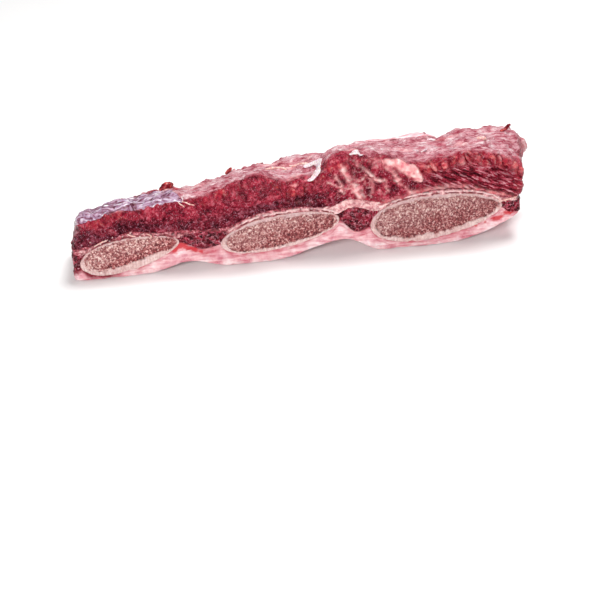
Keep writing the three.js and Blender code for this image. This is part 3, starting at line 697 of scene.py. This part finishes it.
def lean_relief(x, y, z):
    """How far the lean stands out: its knobs, slow folds, frills of 5.2 mm along the front edge, and
    flakes of 6.3 mm over its top and back."""
    knobs = sum(out * hill(np.sqrt(((x - mx) / rx) ** 2 + ((y - my) / ry) ** 2 + ((z - mz) / rz) ** 2))
                for (mx, my, mz), (rx, ry, rz), out in KNOBS)
    rim = hill((z - crest(x) + 2) / 4.5) * hill(np.maximum(y - FRONT, 0) / 6)
    frills = 1.1 * bunches(x / 5.2 + 0.5 * np.sin(0.23 * x) + 0.04 * z)
    flakes = 0.7 * bunches((y + 0.6 * z) / 6.3 + 0.55 * np.sin(0.11 * x) + 0.013 * x)
    return knobs + 0.8 * folds(x, y, z) + rim * frills + clamp((y - FRONT) / 8) * flakes


def end_push(x, y, z):
    """How far the ends bulge along X: the left one leans back, and a loose flap hangs from the right one."""
    near = clamp((np.abs(x - (LEFT + RIGHT) / 2) - 80) / 5)
    slope = 0.38 * np.maximum(z - 12, 0) * clamp((-65 - x) / 20)
    flap = hill(np.hypot((y - FLAP_PLACE[0]) / FLAP_REACH[0], (z - FLAP_PLACE[1]) / FLAP_REACH[1])) * (x > 0)
    return slope + near * (FLAP_OUT * flap + 0.9 * folds(x, 1.6 * y, 1.6 * z))


def torn_and_sawn_lean(add, place):
    """Sawn bundles 1 mm across from maroon to crimson, with painted shade in the lowest facets and pale
    flecks on the highest, partly connective tissue and partly painted glints, sloping strands 0.75 mm apart
    where the stranded mask is high, and a top with fibres 0.8 mm apart, painted pale partly for its film and
    partly as painted sheen. More masks give the dark flesh by the ribs with painted shade in its recess and
    grooves, the red of the rims with painted highlights on their ridges, and the fat, which also carries
    painted glints."""
    bent = add("TexNoise", Vector=place, Scale=0.6, Detail=3.0, take="Color")
    shifted = add("VectorMath", Vector=bent, Vector_001=(1.6, 1.6, 1.6), Vector_002=place,
                  operation="MULTIPLY_ADD")
    each = add("TexVoronoi", Vector=shifted, Scale=0.95, take="Color")
    tint = add("SeparateColor", Color=each)
    slow = add("TexNoise", Vector=place, Scale=0.22, Detail=4.0, Roughness=0.6)
    soft = add("TexNoise", Vector=shifted, Scale=0.8, Detail=2.0)
    specks = add("TexNoise", Vector=shifted, Scale=2.0, Detail=1.0)
    grained = add("Mix", Factor_Float=0.8, A_Float=tint, B_Float=soft)
    broad = add("MapRange", Value="dark", To_Min=0.62, To_Max=0.35)
    shade = add("Mix", Factor_Float=broad, A_Float=grained, B_Float=slow)
    bright = add("ValToRGB", Fac=shade, stops=[(0.38, "#4e081a"), (0.62, "#cc5a6a"), (0.45, "#7c1429"),
                                               (0.5, "#931d33"), (0.56, "#ae3044")])
    dark = add("ValToRGB", Fac=shade, stops=[(0.36, "#26030c"), (0.64, "#8a3c4c"), (0.44, "#3c0613"),
                                             (0.5, "#520e1e"), (0.57, "#6c1e2f")])
    plain = add("Mix", Factor_Float="dark", A_Color=bright, B_Color=dark)
    strokes = add("Mapping", Vector=shifted, Scale=(0.34, 0.34, 0.65), Rotation=(0, 0.6, 0),
                  vector_type="TEXTURE")
    ends = add("TexNoise", Vector=strokes, Scale=1.0, Detail=1.0)
    facets = add("Mix", Factor_Float=0.7, A_Float=soft, B_Float=ends)
    speckled = add("MapRange", Value="dark", To_Min=0.5, To_Max=0.9)
    # Pale flecks on the raised facets, partly connective tissue and partly painted glints, more of them low
    # on the cut.
    fleck_and_glint = add("MapRange", Value=facets, From_Min=0.56, From_Max=0.64, To_Max=speckled)
    # Painted shade: the lowest facets turn near black, as in pits.
    pit_shade = add("MapRange", Value=facets, From_Min=0.44, From_Max=0.36, To_Max=speckled)
    pitted = add("Mix", Factor_Float=pit_shade, A_Color=plain, B_Color="#36040f")
    # The painted glints' colour, greyer low on the cut.
    glint = add("Mix", Factor_Float="dark", A_Color="#dd9fae", B_Color="#a8788a")
    sawn_look = add("Mix", Factor_Float=fleck_and_glint, A_Color=pitted, B_Color=glint)
    torn_along = add("Mapping", Vector=place, Scale=(5.0, 1.5, 0.75), Rotation=(0, STRAND_TILT, 0),
                     vector_type="TEXTURE")
    strands = add("TexNoise", Vector=torn_along, Scale=1.0, Detail=3.0, Distortion=0.4)
    stranded = add("ValToRGB", Fac=strands, stops=[(0.38, "#30040e"), (0.64, "#eeb0ba"), (0.45, "#660e1e"),
                                                   (0.51, "#9a1f33"), (0.57, "#c44c60")])
    cut = add("Mix", Factor_Float="stranded", A_Color=sawn_look, B_Color=stranded)
    along = add("Mapping", Vector=place, Scale=(0.24, 1.3, 1.3))
    fibres = add("TexNoise", Vector=along, Scale=1.0, Detail=5.0, Roughness=0.65, Distortion=0.9)
    wavy = add("Mix", Factor_Float=0.45, A_Float=fibres, B_Float=slow)
    top_look = add("ValToRGB", Fac=wavy, stops=[(0.37, "#7c1a2c"), (0.62, "#f7e2e4"), (0.43, "#ac4a5c"),
                                                (0.49, "#c98690"), (0.55, "#ddaab2")])
    # The pale top: partly its film and partly painted sheen.
    topped = add("Mix", Factor_Float="pale_top", A_Color=cut, B_Color=top_look)
    swelling = add("TexNoise", Vector=shifted, Scale=0.5, Detail=3.0, Roughness=0.6)
    warmth = add("ValToRGB", Fac=swelling, stops=[(0.34, "#740c20"), (0.68, "#f6b0ac"), (0.43, "#a01c34"),
                                                  (0.51, "#c03040"), (0.6, "#da5c5c")])
    # Red of the rims, brighter on their ridges as painted highlight.
    rimmed = add("Mix", Factor_Float="warm_red_and_highlights", A_Color=topped, B_Color=warmth)
    grease = add("TexNoise", Vector=place, Scale=0.45, Detail=5.0)
    fatty = add("ValToRGB", Fac=grease, stops=[(0.34, "#d87c84"), (0.66, "#fce0dc"), (0.5, "#f0b0ae")])
    colour = add("Mix", Factor_Float="fat", A_Color=rimmed, B_Color=fatty)
    roughness = add("MapRange", Value=specks, From_Min=0.35, From_Max=0.65, To_Min=0.32, To_Max=0.16)
    fleshy = add("Mix", Factor_Float="pale_top", A_Float=facets, B_Float=fibres)
    grain = add("Mix", Factor_Float="fat", A_Float=fleshy, B_Float=grease)
    normal = add("Bump", Height=grain, Strength=1.0, Distance=0.001)
    return colour, roughness, normal


lean_finish = finish("sawn and torn lean", torn_and_sawn_lean, IOR=1.42, Specular_IOR_Level=0.35,
                     Specular_Tint="#f49aa4", Subsurface_Weight=0.05, Subsurface_Radius=(1.0, 0.3, 0.25),
                     Subsurface_Scale=0.001)
x, size = rings_along(LEFT, RIGHT, count=380, radius=4.5, shrink=0.22, caps=14, dome=0.4)
p, q = rounded_square((60, 80, 56, 18), above=8, below=40)
p, q = p * size, q * size
share = (p + 1) / 2
ease = clamp(share) ** 2 * (3 - 2 * clamp(share))
upper = crest(x) + (rear(x) - crest(x)) * ease + 0.8 * np.sin(math.pi * share)
lower = cover_top(x) - 0.1
y, z = FRONT + (BACK - FRONT) * share, lower + (upper - lower) * (q + 1) / 2
out = lean_relief(x + skew(x) * share, y, z)
lean = at(x + skew(x) * share + end_push(x, y, z), y + out * p**3, z + out * np.maximum(q, 0) ** 3)
normal = outward(lean)
x, y, z = np.moveaxis(lean, -1, 0)
sawn = clamp(1.6 * np.abs(normal[..., 1]) - 0.5)
top = clamp(2.2 * normal[..., 2] - 0.6)
below_edge = crest(x) - z
rim = hill((below_edge - 1.2) / 1.9) * hill(np.maximum(y - FRONT, 0) / 3)
back_rim = hill((rear(x) - z - 0.5) / 2.0) * hill(np.maximum(BACK - y, 0) / 3)
right_cut = sawn * clamp((x - 46) / 6) * clamp((below_edge - 1.8) / 2)
strands = bunches((0.42 * x + 0.91 * z) / 2.0 + 0.9 * rough(lean, 7, 66))
pleats = bunches(x / 2.7 + 0.7 * rough(lean, 5, 67)) * hill((x + 3) / 8) * clamp((z - 25) / 2)
upright = bunches(x / 1.9 + 0.5 * rough(lean, 4, 69) + 0.1 * z) * hill((x + 19) / 7) * clamp((z - 24) / 3)
detail = 0.35 * rough(lean, 3.2, 61) + 0.3 * rough(lean, 1.3, 62)
uneven = np.clip(0.6 + 1.4 * rough(lean, (8, 4, 4), 77), 0, 1.2)
detail += sawn * (0.7 * np.abs(rough(lean, 1.5, 63)) + 1.4 * pleats + 1.0 * upright)
detail += sawn * 0.9 * rough(lean @ TURNED, (6, 3, 2.2), 86) * clamp((z - cover_top(x) - 3) / 3)
thick_end = clamp((x - THICK_END) / 4)
detail += right_cut * (1.1 * uneven * strands + 0.8 * rough(lean @ TURNED, (5, 1.5, 0.9), 78))
detail += top * (0.5 * rough(lean, (7, 1.5, 1.5), 64) + 0.9 * rough(lean, (14, 4, 5), 65))
fringe = bunches(x / 3.5 + 1.0 * rough(lean, 6, 68) + 0.18 * z) * (0.9 + 0.5 * rough(lean, 4, 87))
# Hardly at all under the silverskin.
frilled = np.interp(x, [-46, -38, THICK_END, THICK_END + 6], [0.15, 1.2, 1.2, 3.2])
# The frills' ridges, which get a painted highlight of pale pink.
frill_tip_highlights = clamp(3 * fringe - 0.6) * rim * thick_end
detail += rim * frilled * fringe + back_rim * 1.3 * rough(lean, 2.6, 70)
strayed = x + 1.2 * rough(lean, 2.4, 71)
lobe = near_path(x + 0.3 * (strayed - x), z, FAT_LOBE) / line_through(LOBE_WIDTH)(x)
lobe = sawn * clamp(1.6 - 1.1 * lobe + 0.3 * rough(lean, 1.8, 79)) * (y < 0)
veins = [hill(near_path(strayed, z, path) / (1.25 * width)) for path, width in VEINS]
marbling = np.maximum.reduce(veins) * sawn * clamp(0.85 + 0.9 * rough(lean, 1.6, 75))
marbled = sawn * hill((x - 25) / 12) * (y < 0)  # where the cut breaks into facets with thin fat between them
facets = np.abs(rough(lean, (2.6, 4, 5.0), 80))
marbling = np.maximum(marbling, 0.5 * marbled * clamp(1 - facets / 0.09))
detail += marbled * 1.6 * np.minimum(facets, 0.5)
detail = detail * (1 - 0.7 * clamp(lobe)) + 0.9 * lobe + 0.3 * marbling
lean = lean + normal * detail[..., None]
edge_noise = rough(lean, 2.5, 72)
# Painted darker low on the cut: partly the dark flesh by the ribs and partly painted shade of the recess
# under the overhang.
depth_below = line_through(DARK_LIMIT)(x) - z + 2.0 * edge_noise
dark = (1 - top) * clamp(depth_below / 3.0) * line_through(DARKNESS)(x)
# Painted shade in the grooves between the strands, the pleats and the frills.
groove_shade = clamp(-3 * strands) * right_cut + clamp(-3 * pleats) * sawn
groove_shade += 0.6 * clamp(-2.5 * fringe - 0.2) * rim * thick_end
dark = clamp(dark + 0.5 * clamp(-edge_noise - 0.2) * sawn + 0.7 * groove_shade)
# Paler where the surface faces up: partly the dry film on the torn top and partly painted sheen from the
# light above.
pale_top = clamp(3.0 * top - 1.7 + 0.9 * rough(lean, (5, 1.5, 1.5), 73))
torn_edge = line_through(TORN_EDGE)(x) + 1.5 * edge_noise + 3.0 * rough(lean, (7, 3, 3), 90)
pale_top = pale_top * clamp((y - torn_edge) / 3.0)
flap = hill(np.hypot((y - FLAP_PLACE[0]) / 5, (z - FLAP_PLACE[1]) / 4))
flap = flap * clamp((x + 1.5 * edge_noise - 78) / 5)
stranded = right_cut * clamp(0.85 + 0.5 * rough(lean, 3, 76))
end_rim = 0.4 * clamp((x - 74) / 5) * clamp((z - 29) / 3) * (1 - sawn)
pale_top = clamp(pale_top + 1.2 * flap + end_rim)
# Painted glints: pale upright strokes on the ridges of the pleated cut.
glints = clamp(5 * upright - 1.2) * sawn * hill((z - 30) / 2.5) * clamp(0.4 + 1.5 * edge_noise)
rim_share = thick_end + 0.9 * hill((x + 30) / 4) + 0.7 * hill((x - 14) / 5) + 0.12
nub = hill(np.hypot((x - NUB_PLACE[0]) / 3.2, (y - NUB_PLACE[1]) / 5))
# Warmer on the pleats' ridges in the dip: painted highlight.
dip_rim = (0.35 + 1.2 * clamp(pleats)) * hill((x + 2) / 6) * hill((z - 27.6) / 2.2) * (1 - pale_top)
seam = hill((z - cover_top(x) - 0.6) / 0.9) * sawn * np.interp(x, [28, 36, 76, 84], [0, 1, 1, 0])
seam = seam * (0.7 + edge_noise)  # a pale line over the right rib
# Red of the torn rims, lumps and nub, with painted light: brighter along the front edge that faces up to the
# light.
warm_red_and_highlights = 1.5 * (rim + 0.5 * back_rim) * rim_share * (0.6 + 0.9 * edge_noise) + nub + dip_rim
for (wx, wy, wz), (rx, ry, rz), strength in WARM_LUMPS:
    warm_red_and_highlights = warm_red_and_highlights + strength * hill(np.sqrt(((x - wx) / rx) ** 2 + ((y - wy) / ry) ** 2 + ((z - wz) / rz) ** 2))
warm_red_and_highlights += 0.9 * clamp((x - 80) / 3) * hill((z - 22) / 5) * clamp(-(y + 4) / 3) * (0.6 + edge_noise)
# Painted highlight on the frills' ridges and painted shade in their valleys.
warm_red_and_highlights = warm_red_and_highlights * (0.75 + 0.8 * fringe * rim) + 0.7 * seam
warm_red_and_highlights = np.clip(warm_red_and_highlights, 0, 0.9) * (1 - 0.5 * pale_top * (1 - nub))
creamy = np.clip(1.5 * rough(lean, (9, 3, 3), 74) - 0.5, 0, 0.7) * top
greasy = np.maximum(1.35 * lobe, marbling * (0.9 + 0.5 * edge_noise))
# The fat mask also carries the painted glints and the painted highlights on the frills' tips.
fat = greasy + creamy + 0.6 * glints + 0.6 * flap + 0.5 * clamp(seam)
fat = clamp(fat + frill_tip_highlights * np.clip(0.35 + 0.8 * rough(lean, (2, 2, 1.2), 88), 0, 0.7))
masks = {"dark": dark, "pale_top": pale_top, "warm_red_and_highlights": warm_red_and_highlights, "fat": fat, "stranded": stranded}
closed_skin("slab_of_lean", lean, masks, lean_finish, ["lean"])

# --- The silverskin -------------------------------------------------------------------------------
# A sheet of silverskin clings to the top of the slab at its thin end. It is thin, wet connective tissue,
# lilac grey, glossy, creased along the strip, with painted highlights on the creases' ridges and painted
# shade in their hollows, and clear enough that the red muscle shows through it in patches.

FILM_ENDS, FILM_SIDES = (-82.5, -41.5), (-12.4, 9.5)  # where it ends along X and Y
FILM_LIFT = 0.6  # how far it lies over the lean
SHOW_THROUGH = (  # place along X and Y of each patch where the muscle shows, and its reach
    (-55, 5.0, 5.6), (-67.9, -5.8, 3.4), (-76, -8.4, 3.4), (-62, 7.2, 5.6), (-72, 4, 3.6), (-47, -2, 2.6),
    (-79, 2, 3.2), (-64, 3, 3.0), (-70, 7.5, 4.0), (-53, -7, 2.0), (-59, -1.5, 2.2), (-81, -6, 2.0),
)


def clinging_film(add, place):
    """Lilac grey with creases 9 mm long and 3 mm apart with finer ones on them, painted white on their ridges
    as painted highlight and dark in their hollows as painted shade, and dark red where the muscle shows
    through."""
    along = add("Mapping", Vector=place, Scale=(9.0, 3.0, 3.0), Rotation=(0, 0, 0.2), vector_type="TEXTURE")
    creases = add("TexNoise", Vector=along, Scale=1.0, Detail=4.0, Roughness=0.52, Distortion=1.8)
    # Painted light on the creases: white on their ridges, dark in their hollows.
    film = add("ValToRGB", Fac=creases, stops=[(0.37, "#5c1c2e"), (0.68, "#fdf9fc"), (0.43, "#865068"),
                                               (0.49, "#a07a94"), (0.55, "#b898b0"), (0.61, "#d4c4d2")])
    blotch = add("TexNoise", Vector=place, Scale=0.6, Detail=4.0, Roughness=0.7)
    muscle = add("ValToRGB", Fac=blotch, stops=[(0.36, "#3c0d1b"), (0.64, "#98384c")])
    colour = add("Mix", Factor_Float="seen_through", A_Color=film, B_Color=muscle)
    roughness = add("MapRange", Value=blotch, To_Min=0.15, To_Max=0.4)
    normal = add("Bump", Height=creases, Strength=0.8, Distance=0.0012)
    return colour, roughness, normal


film_finish = finish("wet silverskin", clinging_film, IOR=1.45, Subsurface_Weight=0.1, Subsurface_Scale=0.001)
CREST_COLUMN, TOP_COLUMN, LAST_COLUMN = 55, 98, 134  # of the lean's points, from its front edge over its top
first_ring, last_ring = (int(np.argmin(np.abs(lean[:, TOP_COLUMN, 0] - end))) for end in (-84.0, -36.0))
patch = lean[first_ring:last_ring, CREST_COLUMN:LAST_COLUMN]
lift = outward(lean)[first_ring:last_ring, CREST_COLUMN:LAST_COLUMN]
x, y, z = np.moveaxis(patch, -1, 0)
wavy = 1.4 * rough(patch, 4.5, 81)
from_nub = (np.hypot((x - NUB_PLACE[0]) / 3.6, (y - NUB_PLACE[1]) / 5.5) - 1) * 3
torn_end = FILM_ENDS[1] - 0.55 * (y - FILM_SIDES[0]) + 2.5 * rough(patch, (3, 2, 2), 85) - x
torn_back = FILM_SIDES[1] - y + 3.0 * rough(patch, 9, 89)
inside = np.minimum.reduce([x - FILM_ENDS[0], torn_end, y - FILM_SIDES[0] + 0.9, torn_back])
inside = np.minimum(inside + wavy, from_nub)
raised = np.clip(inside / 1.1, -0.7, 1)
wrinkles = 0.5 * bunches((y - 0.15 * x) / 4.3 + 1.3 * rough(patch, 9, 82))
wrinkles = wrinkles + 0.3 * rough(patch, (7, 2.2, 2.2), 83)
over = patch + lift * (raised * FILM_LIFT + clamp(inside / 2) * wrinkles)[..., None]
under = patch - lift * 0.8
film = np.concatenate([over, under[:, ::-1]], axis=1)
through = sum(hill(np.hypot(x - sx, 1.5 * (y - sy)) / reach_of) for sx, sy, reach_of in SHOW_THROUGH)
back_edge = 0.7 * clamp(1 - torn_back / 5) + 0.5 * clamp((-76 - x) / 4)
seen = np.clip(2.0 * (through + back_edge - 0.38 + 0.9 * rough(patch, (7, 2.4, 2.4), 84)), 0, 0.9)
closed_skin("clinging_silverskin", film, {"seen_through": np.concatenate([seen, seen[:, ::-1]], axis=1)},
            film_finish, ["silverskin"])

# --- Loose bits on the lean -----------------------------------------------------------------------
# Shreds of fascia, fat and torn muscle lie on the slab or hang from it: a white strip by the dip, a pale band
# along the back edge, a few curls, short strands at the silverskin's torn end and over the ribs, and an
# upright tip.

# Each bit's name, path over the lean, half width, half thickness, how far its far end stands off, and its
# finish.
BITS = (
    ("white_fascia_strip", ((4.2, -10.6, 29.6), (6.4, -9.6, 30.8), (8.8, -8, 32.8), (9.6, -4.6, 33.6),
                            (9.6, -1.2, 33.8), (6.6, -0.6, 33), (3.5, 0.4, 31.5)), 1.7, 0.35, 0.0, "white"),
    ("white_fascia_patch", ((20.4, -10.4, 38.6), (23, -10, 38.8), (25.8, -10.4, 38.6)), 1.9, 0.3, 0.0,
     "white"),
    ("back_fat_band", ((27, 11.6, 33.4), (35, 11.6, 34), (43, 11.4, 34.4), (51, 11, 34.2), (57, 10.4, 33.6)),
     1.7, 0.6, 0.0, "pink"),
    ("yellow_fat_crumb", ((69.3, -2.6, 36.4), (71, -2.9, 36.8), (73, -3.2, 36.4)), 0.8, 0.6, 0.0, "fat"),
    ("white_curl_a", ((45.6, -1.2, 34.2), (46.8, -2.6, 34.3), (46.4, -4.2, 34.3)), 0.3, 0.3, 0.5, "white"),
    ("white_curl_b", ((48, -3.4, 34.3), (49.4, -2.6, 34.4), (50.4, -1, 34.4)), 0.3, 0.3, 0.4, "white"),
    ("pale_scrap", ((52, 4.6, 35), (53.6, 5.8, 35), (55.4, 6.8, 35)), 0.9, 0.4, 0.0, "white"),
    ("strand_a", ((-45, -11, 29), (-43.4, -12.4, 27.8), (-41.4, -13.3, 25.8)), 0.2, 0.2, 0.6, "fat"),
    ("strand_b", ((-41, -7.6, 29.6), (-41.6, -10.4, 29.4), (-41.9, -12.4, 28)), 0.24, 0.2, 0.0, "white"),
    ("strand_c", ((-42.6, -12.6, 28.4), (-40.4, -13.2, 27.4), (-37.4, -13.4, 26.4)), 0.2, 0.2, 0.3, "fat"),
    ("pale_ridge_a", ((-1, 5.4, 30.2), (3.2, 3.2, 31.2), (6.6, 0.8, 32.4)), 0.6, 0.35, 0.0, "fat"),
    ("pale_ridge_b", ((-10.5, 1, 31.8), (-7.4, 3.6, 31.2), (-4.4, 4.8, 30.4), (-1.8, 2.4, 30)), 0.5, 0.35,
     0.0, "fat"),
    ("folded_streak", ((-9.8, -12, 31.8), (-8.4, -12.8, 30.6), (-6.6, -13, 29.4)), 0.4, 0.35, 0.0, "torn"),
    ("shred_over_rib_a", ((-76.4, -12.6, 13.6), (-74.6, -12.9, 14.6), (-72.6, -13, 15.6), (-70.6, -13, 16.2)),
     0.26, 0.26, 0.3, "fat"),
    ("shred_over_rib_b", ((-63.6, -12.9, 17.4), (-62, -13, 16.6), (-60.4, -13, 16.2)), 0.3, 0.3, 0.3, "fat"),
    ("shred_over_rib_c", ((-56.6, -13, 17.0), (-55.2, -13, 16.2), (-54.6, -13, 15.2)), 0.25, 0.25, 0.3,
     "fat"),
    ("fascia_by_rib_tip", ((74.6, -13, 15), (78.4, -13, 15.9), (82.6, -12.8, 16.6)), 0.35, 0.25, 0.0, "fat"),
    ("upright_tip", ((80.0, 5.2, 35), (81.8, 5.8, 35.2), (83.6, 6.4, 35.4)), 0.8, 0.7, 3.0, "torn"),
    ("curled_muscle_end", ((-50.2, 1.6, 26.6), (-48.6, 2.6, 27.6), (-46.8, 3.8, 28), (-45.2, 5.0, 27.4)), 1.5,
     1.3, 0.4, "torn"),
    ("back_peak_a", ((-25, 12.4, 26.5), (-23.4, 12.6, 27.4), (-22, 12.4, 27.4)), 0.9, 0.7, 0.9, "torn"),
    ("back_peak_b", ((-13, 12.4, 28.8), (-11.6, 12.6, 29.4), (-10.2, 12.4, 29.4)), 0.8, 0.6, 0.8, "torn"),
)


def shred(path, half_width, half_thickness, stand_off, rows=36, around_it=16):
    """A rounded strip along a path on the lean: the path is dropped to the nearest points of the lean's
    surface, and a flat oval, cos a across and sin a outwards, is carried along it and shrinks to a point
    at both ends."""
    knots = np.array(path, float)
    t = np.linspace(0, 1, rows)
    even = np.linspace(0, 1, len(knots))
    smooth = np.stack([line_through(list(zip(even, knots[:, k])))(t) for k in range(3)], axis=-1)
    near = np.linalg.norm(skin_points[None] - smooth[:, None], axis=-1).argmin(axis=1)
    blend = np.ones(7) / 7
    pad = np.pad(np.concatenate([skin_points[near], skin_normals[near]], axis=1), ((3, 3), (0, 0)),
                 mode="edge")
    spine = np.stack([np.convolve(pad[:, k], blend, mode="valid") for k in range(6)], axis=-1)
    centre, off = spine[:, :3], spine[:, 3:] / np.linalg.norm(spine[:, 3:], axis=1, keepdims=True)
    across = np.cross(np.gradient(smooth, axis=0), off)
    across /= np.linalg.norm(across, axis=1, keepdims=True)
    taper = np.sqrt(clamp(1 - (2 * t - 1) ** 4)) * (1 + 0.35 * rough(at(t * 9, knots[0, 0], 0), 2.0, 91))
    centre = centre + off * (0.4 * half_thickness + stand_off * t**2)[:, None]
    a = np.linspace(0, ROUND, around_it, endpoint=False)
    c, s = np.cos(a)[None, :, None], np.sin(a)[None, :, None]
    ring = c * across[:, None] * half_width + s * off[:, None] * half_thickness
    grid = centre[:, None] + ring * taper[:, None, None]
    return grid + 0.12 * rough(grid, 1.1, 92)[..., None] * off[:, None]


def shred_look(stops, coarse, detail, sharp, smoothest, dullest, relief):
    """A look of grains 1 / coarse mm across. They give the colours of a ramp, the roughness and a relief
    in metres."""
    def look(add, place):
        grain = add("TexNoise", Vector=place, Scale=coarse, Detail=detail, Roughness=sharp)
        roughness = add("MapRange", Value=grain, To_Min=smoothest, To_Max=dullest)
        normal = add("Bump", Height=grain, Strength=0.6, Distance=relief)
        return add("ValToRGB", Fac=grain, stops=stops), roughness, normal

    return look


# White fascia is wet, with pink fibres 0.6 mm apart. Fat is cream-pink, in grains 0.9 mm across. Torn muscle
# is wet and dark red, with orange-red edges 1.7 mm apart. Light goes a little way into all three.
WHITE = [(0.34, "#c88f9c"), (0.62, "#fdf7f7"), (0.48, "#ecd3d8")]
CREAM = [(0.34, "#c87c7e"), (0.64, "#fbe6da"), (0.5, "#ecb8ae")]
DARK_RED = [(0.34, "#4a0814"), (0.68, "#dc5c4e"), (0.5, "#8c1626")]
SHREDS = {  # each finish's name, slot, IOR, share of the light that goes in, and look
    "white": ("white fascia", "silverskin", 1.44, 0.2, shred_look(WHITE, 1.6, 4.0, 0.7, 0.2, 0.45, 0.0005)),
    "fat": ("grained fat", "cover_fat", 1.44, 0.2, shred_look(CREAM, 1.1, 4.0, 0.7, 0.25, 0.5, 0.0006)),
    "torn": ("torn wet muscle", "lean", 1.42, 0.1, shred_look(DARK_RED, 0.6, 3.0, 0.6, 0.12, 0.35, 0.0006)),
}
SHRED_FINISHES = {"pink": (fascia_finish, "belly_fascia")}
for kind, (name, slot, ior, light_in, look) in SHREDS.items():
    SHRED_FINISHES[kind] = (finish(name, look, IOR=ior, Subsurface_Weight=light_in, Subsurface_Scale=0.001),
                            slot)
skin_points = np.concatenate([lean.reshape(-1, 3), cover.reshape(-1, 3)])
skin_normals = np.concatenate([outward(lean).reshape(-1, 3), outward(cover).reshape(-1, 3)])
for name, path, half_width, half_thickness, stand_off, kind in BITS:
    material, slot = SHRED_FINISHES[kind]
    closed_skin(name, shred(path, half_width, half_thickness, stand_off), {}, material)

# --- Crumbs of bone -------------------------------------------------------------------------------
# The saw has left pale crumbs of bone over the left rib and a few by the other two. Each is a real grain, 0.6
# to 0.8 mm across, stuck to the wet cut.

CRUMBS = (  # place along X and Z on the front cut, and radius
    (-80.6, 14.6, 0.3), (-77.4, 15.4, 0.35), (-73.8, 14.6, 0.4), (-71.4, 15.9, 0.4), (-70.2, 15.2, 0.3),
    (-69.0, 17.0, 0.3), (-66.4, 17.3, 0.4), (-65.2, 16.6, 0.3), (-62.4, 17.8, 0.35), (-59.0, 15.8, 0.4),
    (-57.6, 16.8, 0.3), (-53.2, 15.4, 0.3), (-22.6, 16.4, 0.3), (-15.4, 19.3, 0.35), (-9.0, 20.4, 0.3),
    (12.4, 18.6, 0.4), (34.6, 17.4, 0.3), (78.2, 14.2, 0.35),
)
on_front = skin_points[:, 1] < -11
front_points, front_normals = skin_points[on_front], skin_normals[on_front]
polar = np.linspace(0.12, math.pi - 0.12, 10)[:, None]
for count, (cx, cz, radius) in enumerate(CRUMBS, start=1):
    nearest = np.hypot(front_points[:, 0] - cx, front_points[:, 2] - cz).argmin()
    a = np.linspace(0, ROUND, 16, endpoint=False)[None, :]
    ball = at(np.sin(polar) * np.cos(a), 0.6 * np.cos(polar) + 0 * a, np.sin(polar) * np.sin(a))
    bumpy = 0.9 + 0.9 * rough(ball * (0.7, 1, 1.3) + count, 0.9, 95)[..., None]
    crumb = front_points[nearest] + 0.05 * radius * front_normals[nearest] + radius * ball * bumpy
    closed_skin(f"bone_crumb_{count:02d}", crumb, {}, bone_finish)

# --- The studio -----------------------------------------------------------------------------------
# A plain pale floor under the strip, one large soft light high at the back, a smaller one at the front left,
# and an even white surround, as for a product photograph.

FLOOR_HALF, FLOOR_DROP = 3, 0.0002  # metres


def white_paper(add, place):
    """Matt white paper, a shade uneven over 50 mm, with a fine tooth."""
    tooth = add("TexNoise", Vector=place, Scale=2.0)
    shade = add("TexNoise", Vector=place, Scale=0.02, Detail=2.0)
    return (add("ValToRGB", Fac=shade, stops=[(0.0, "#f7f6f5"), (1.0, "#fbfafa")]),
            add("MapRange", Value=tooth, To_Min=0.85, To_Max=0.95),
            add("Bump", Height=tooth, Strength=0.1, Distance=0.0001))


floor_mesh = bpy.data.meshes.new("pale_floor")
corners = [(FLOOR_HALF * a, FLOOR_HALF * b, -FLOOR_DROP) for a, b in ((-1, -1), (1, -1), (1, 1), (-1, 1))]
floor_mesh.from_pydata(corners, [], [(0, 1, 2, 3)])
floor_mesh.materials.append(finish("matt white paper", white_paper, IOR=1.45))
floor = bpy.data.objects.new("pale_floor", floor_mesh)
bpy.context.collection.objects.link(floor)

for name, place, aim, side, power in (
        ("high_softbox", (0.2, 0.16, 0.82), (0, 0, 0.02), 0.4, 7.4),
        ("front_softbox", (-0.34, -0.86, 0.44), (0, 0, 0.02), 0.22, 7.0)):
    light = bpy.data.lights.new(name, "AREA")
    light.shape, light.size, light.energy = "SQUARE", side, power
    lamp = bpy.data.objects.new(name, light)
    lamp.location = place
    direction = np.array(aim) - np.array(place)
    lamp.rotation_euler = (math.acos(-direction[2] / np.linalg.norm(direction)), 0,
                           math.atan2(-direction[0], direction[1]))
    bpy.context.collection.objects.link(lamp)

world = bpy.data.worlds.new("white_surround")
world.use_nodes = True
world.node_tree.nodes["Background"].inputs["Color"].default_value = (1, 1, 1, 1)
world.node_tree.nodes["Background"].inputs["Strength"].default_value = 0.22
bpy.context.scene.world = world
bpy.context.scene.view_settings.view_transform = "Standard"

camera_data = bpy.data.cameras.new("camera")
camera_data.lens, camera_data.sensor_width = 85, 36
camera = bpy.data.objects.new("camera", camera_data)
camera.location = (-0.03727, -0.48847, 0.2383)
camera.rotation_euler = tuple(math.radians(a) for a in (61.75, 3.684, -5.881))
bpy.context.collection.objects.link(camera)
bpy.context.scene.camera = camera
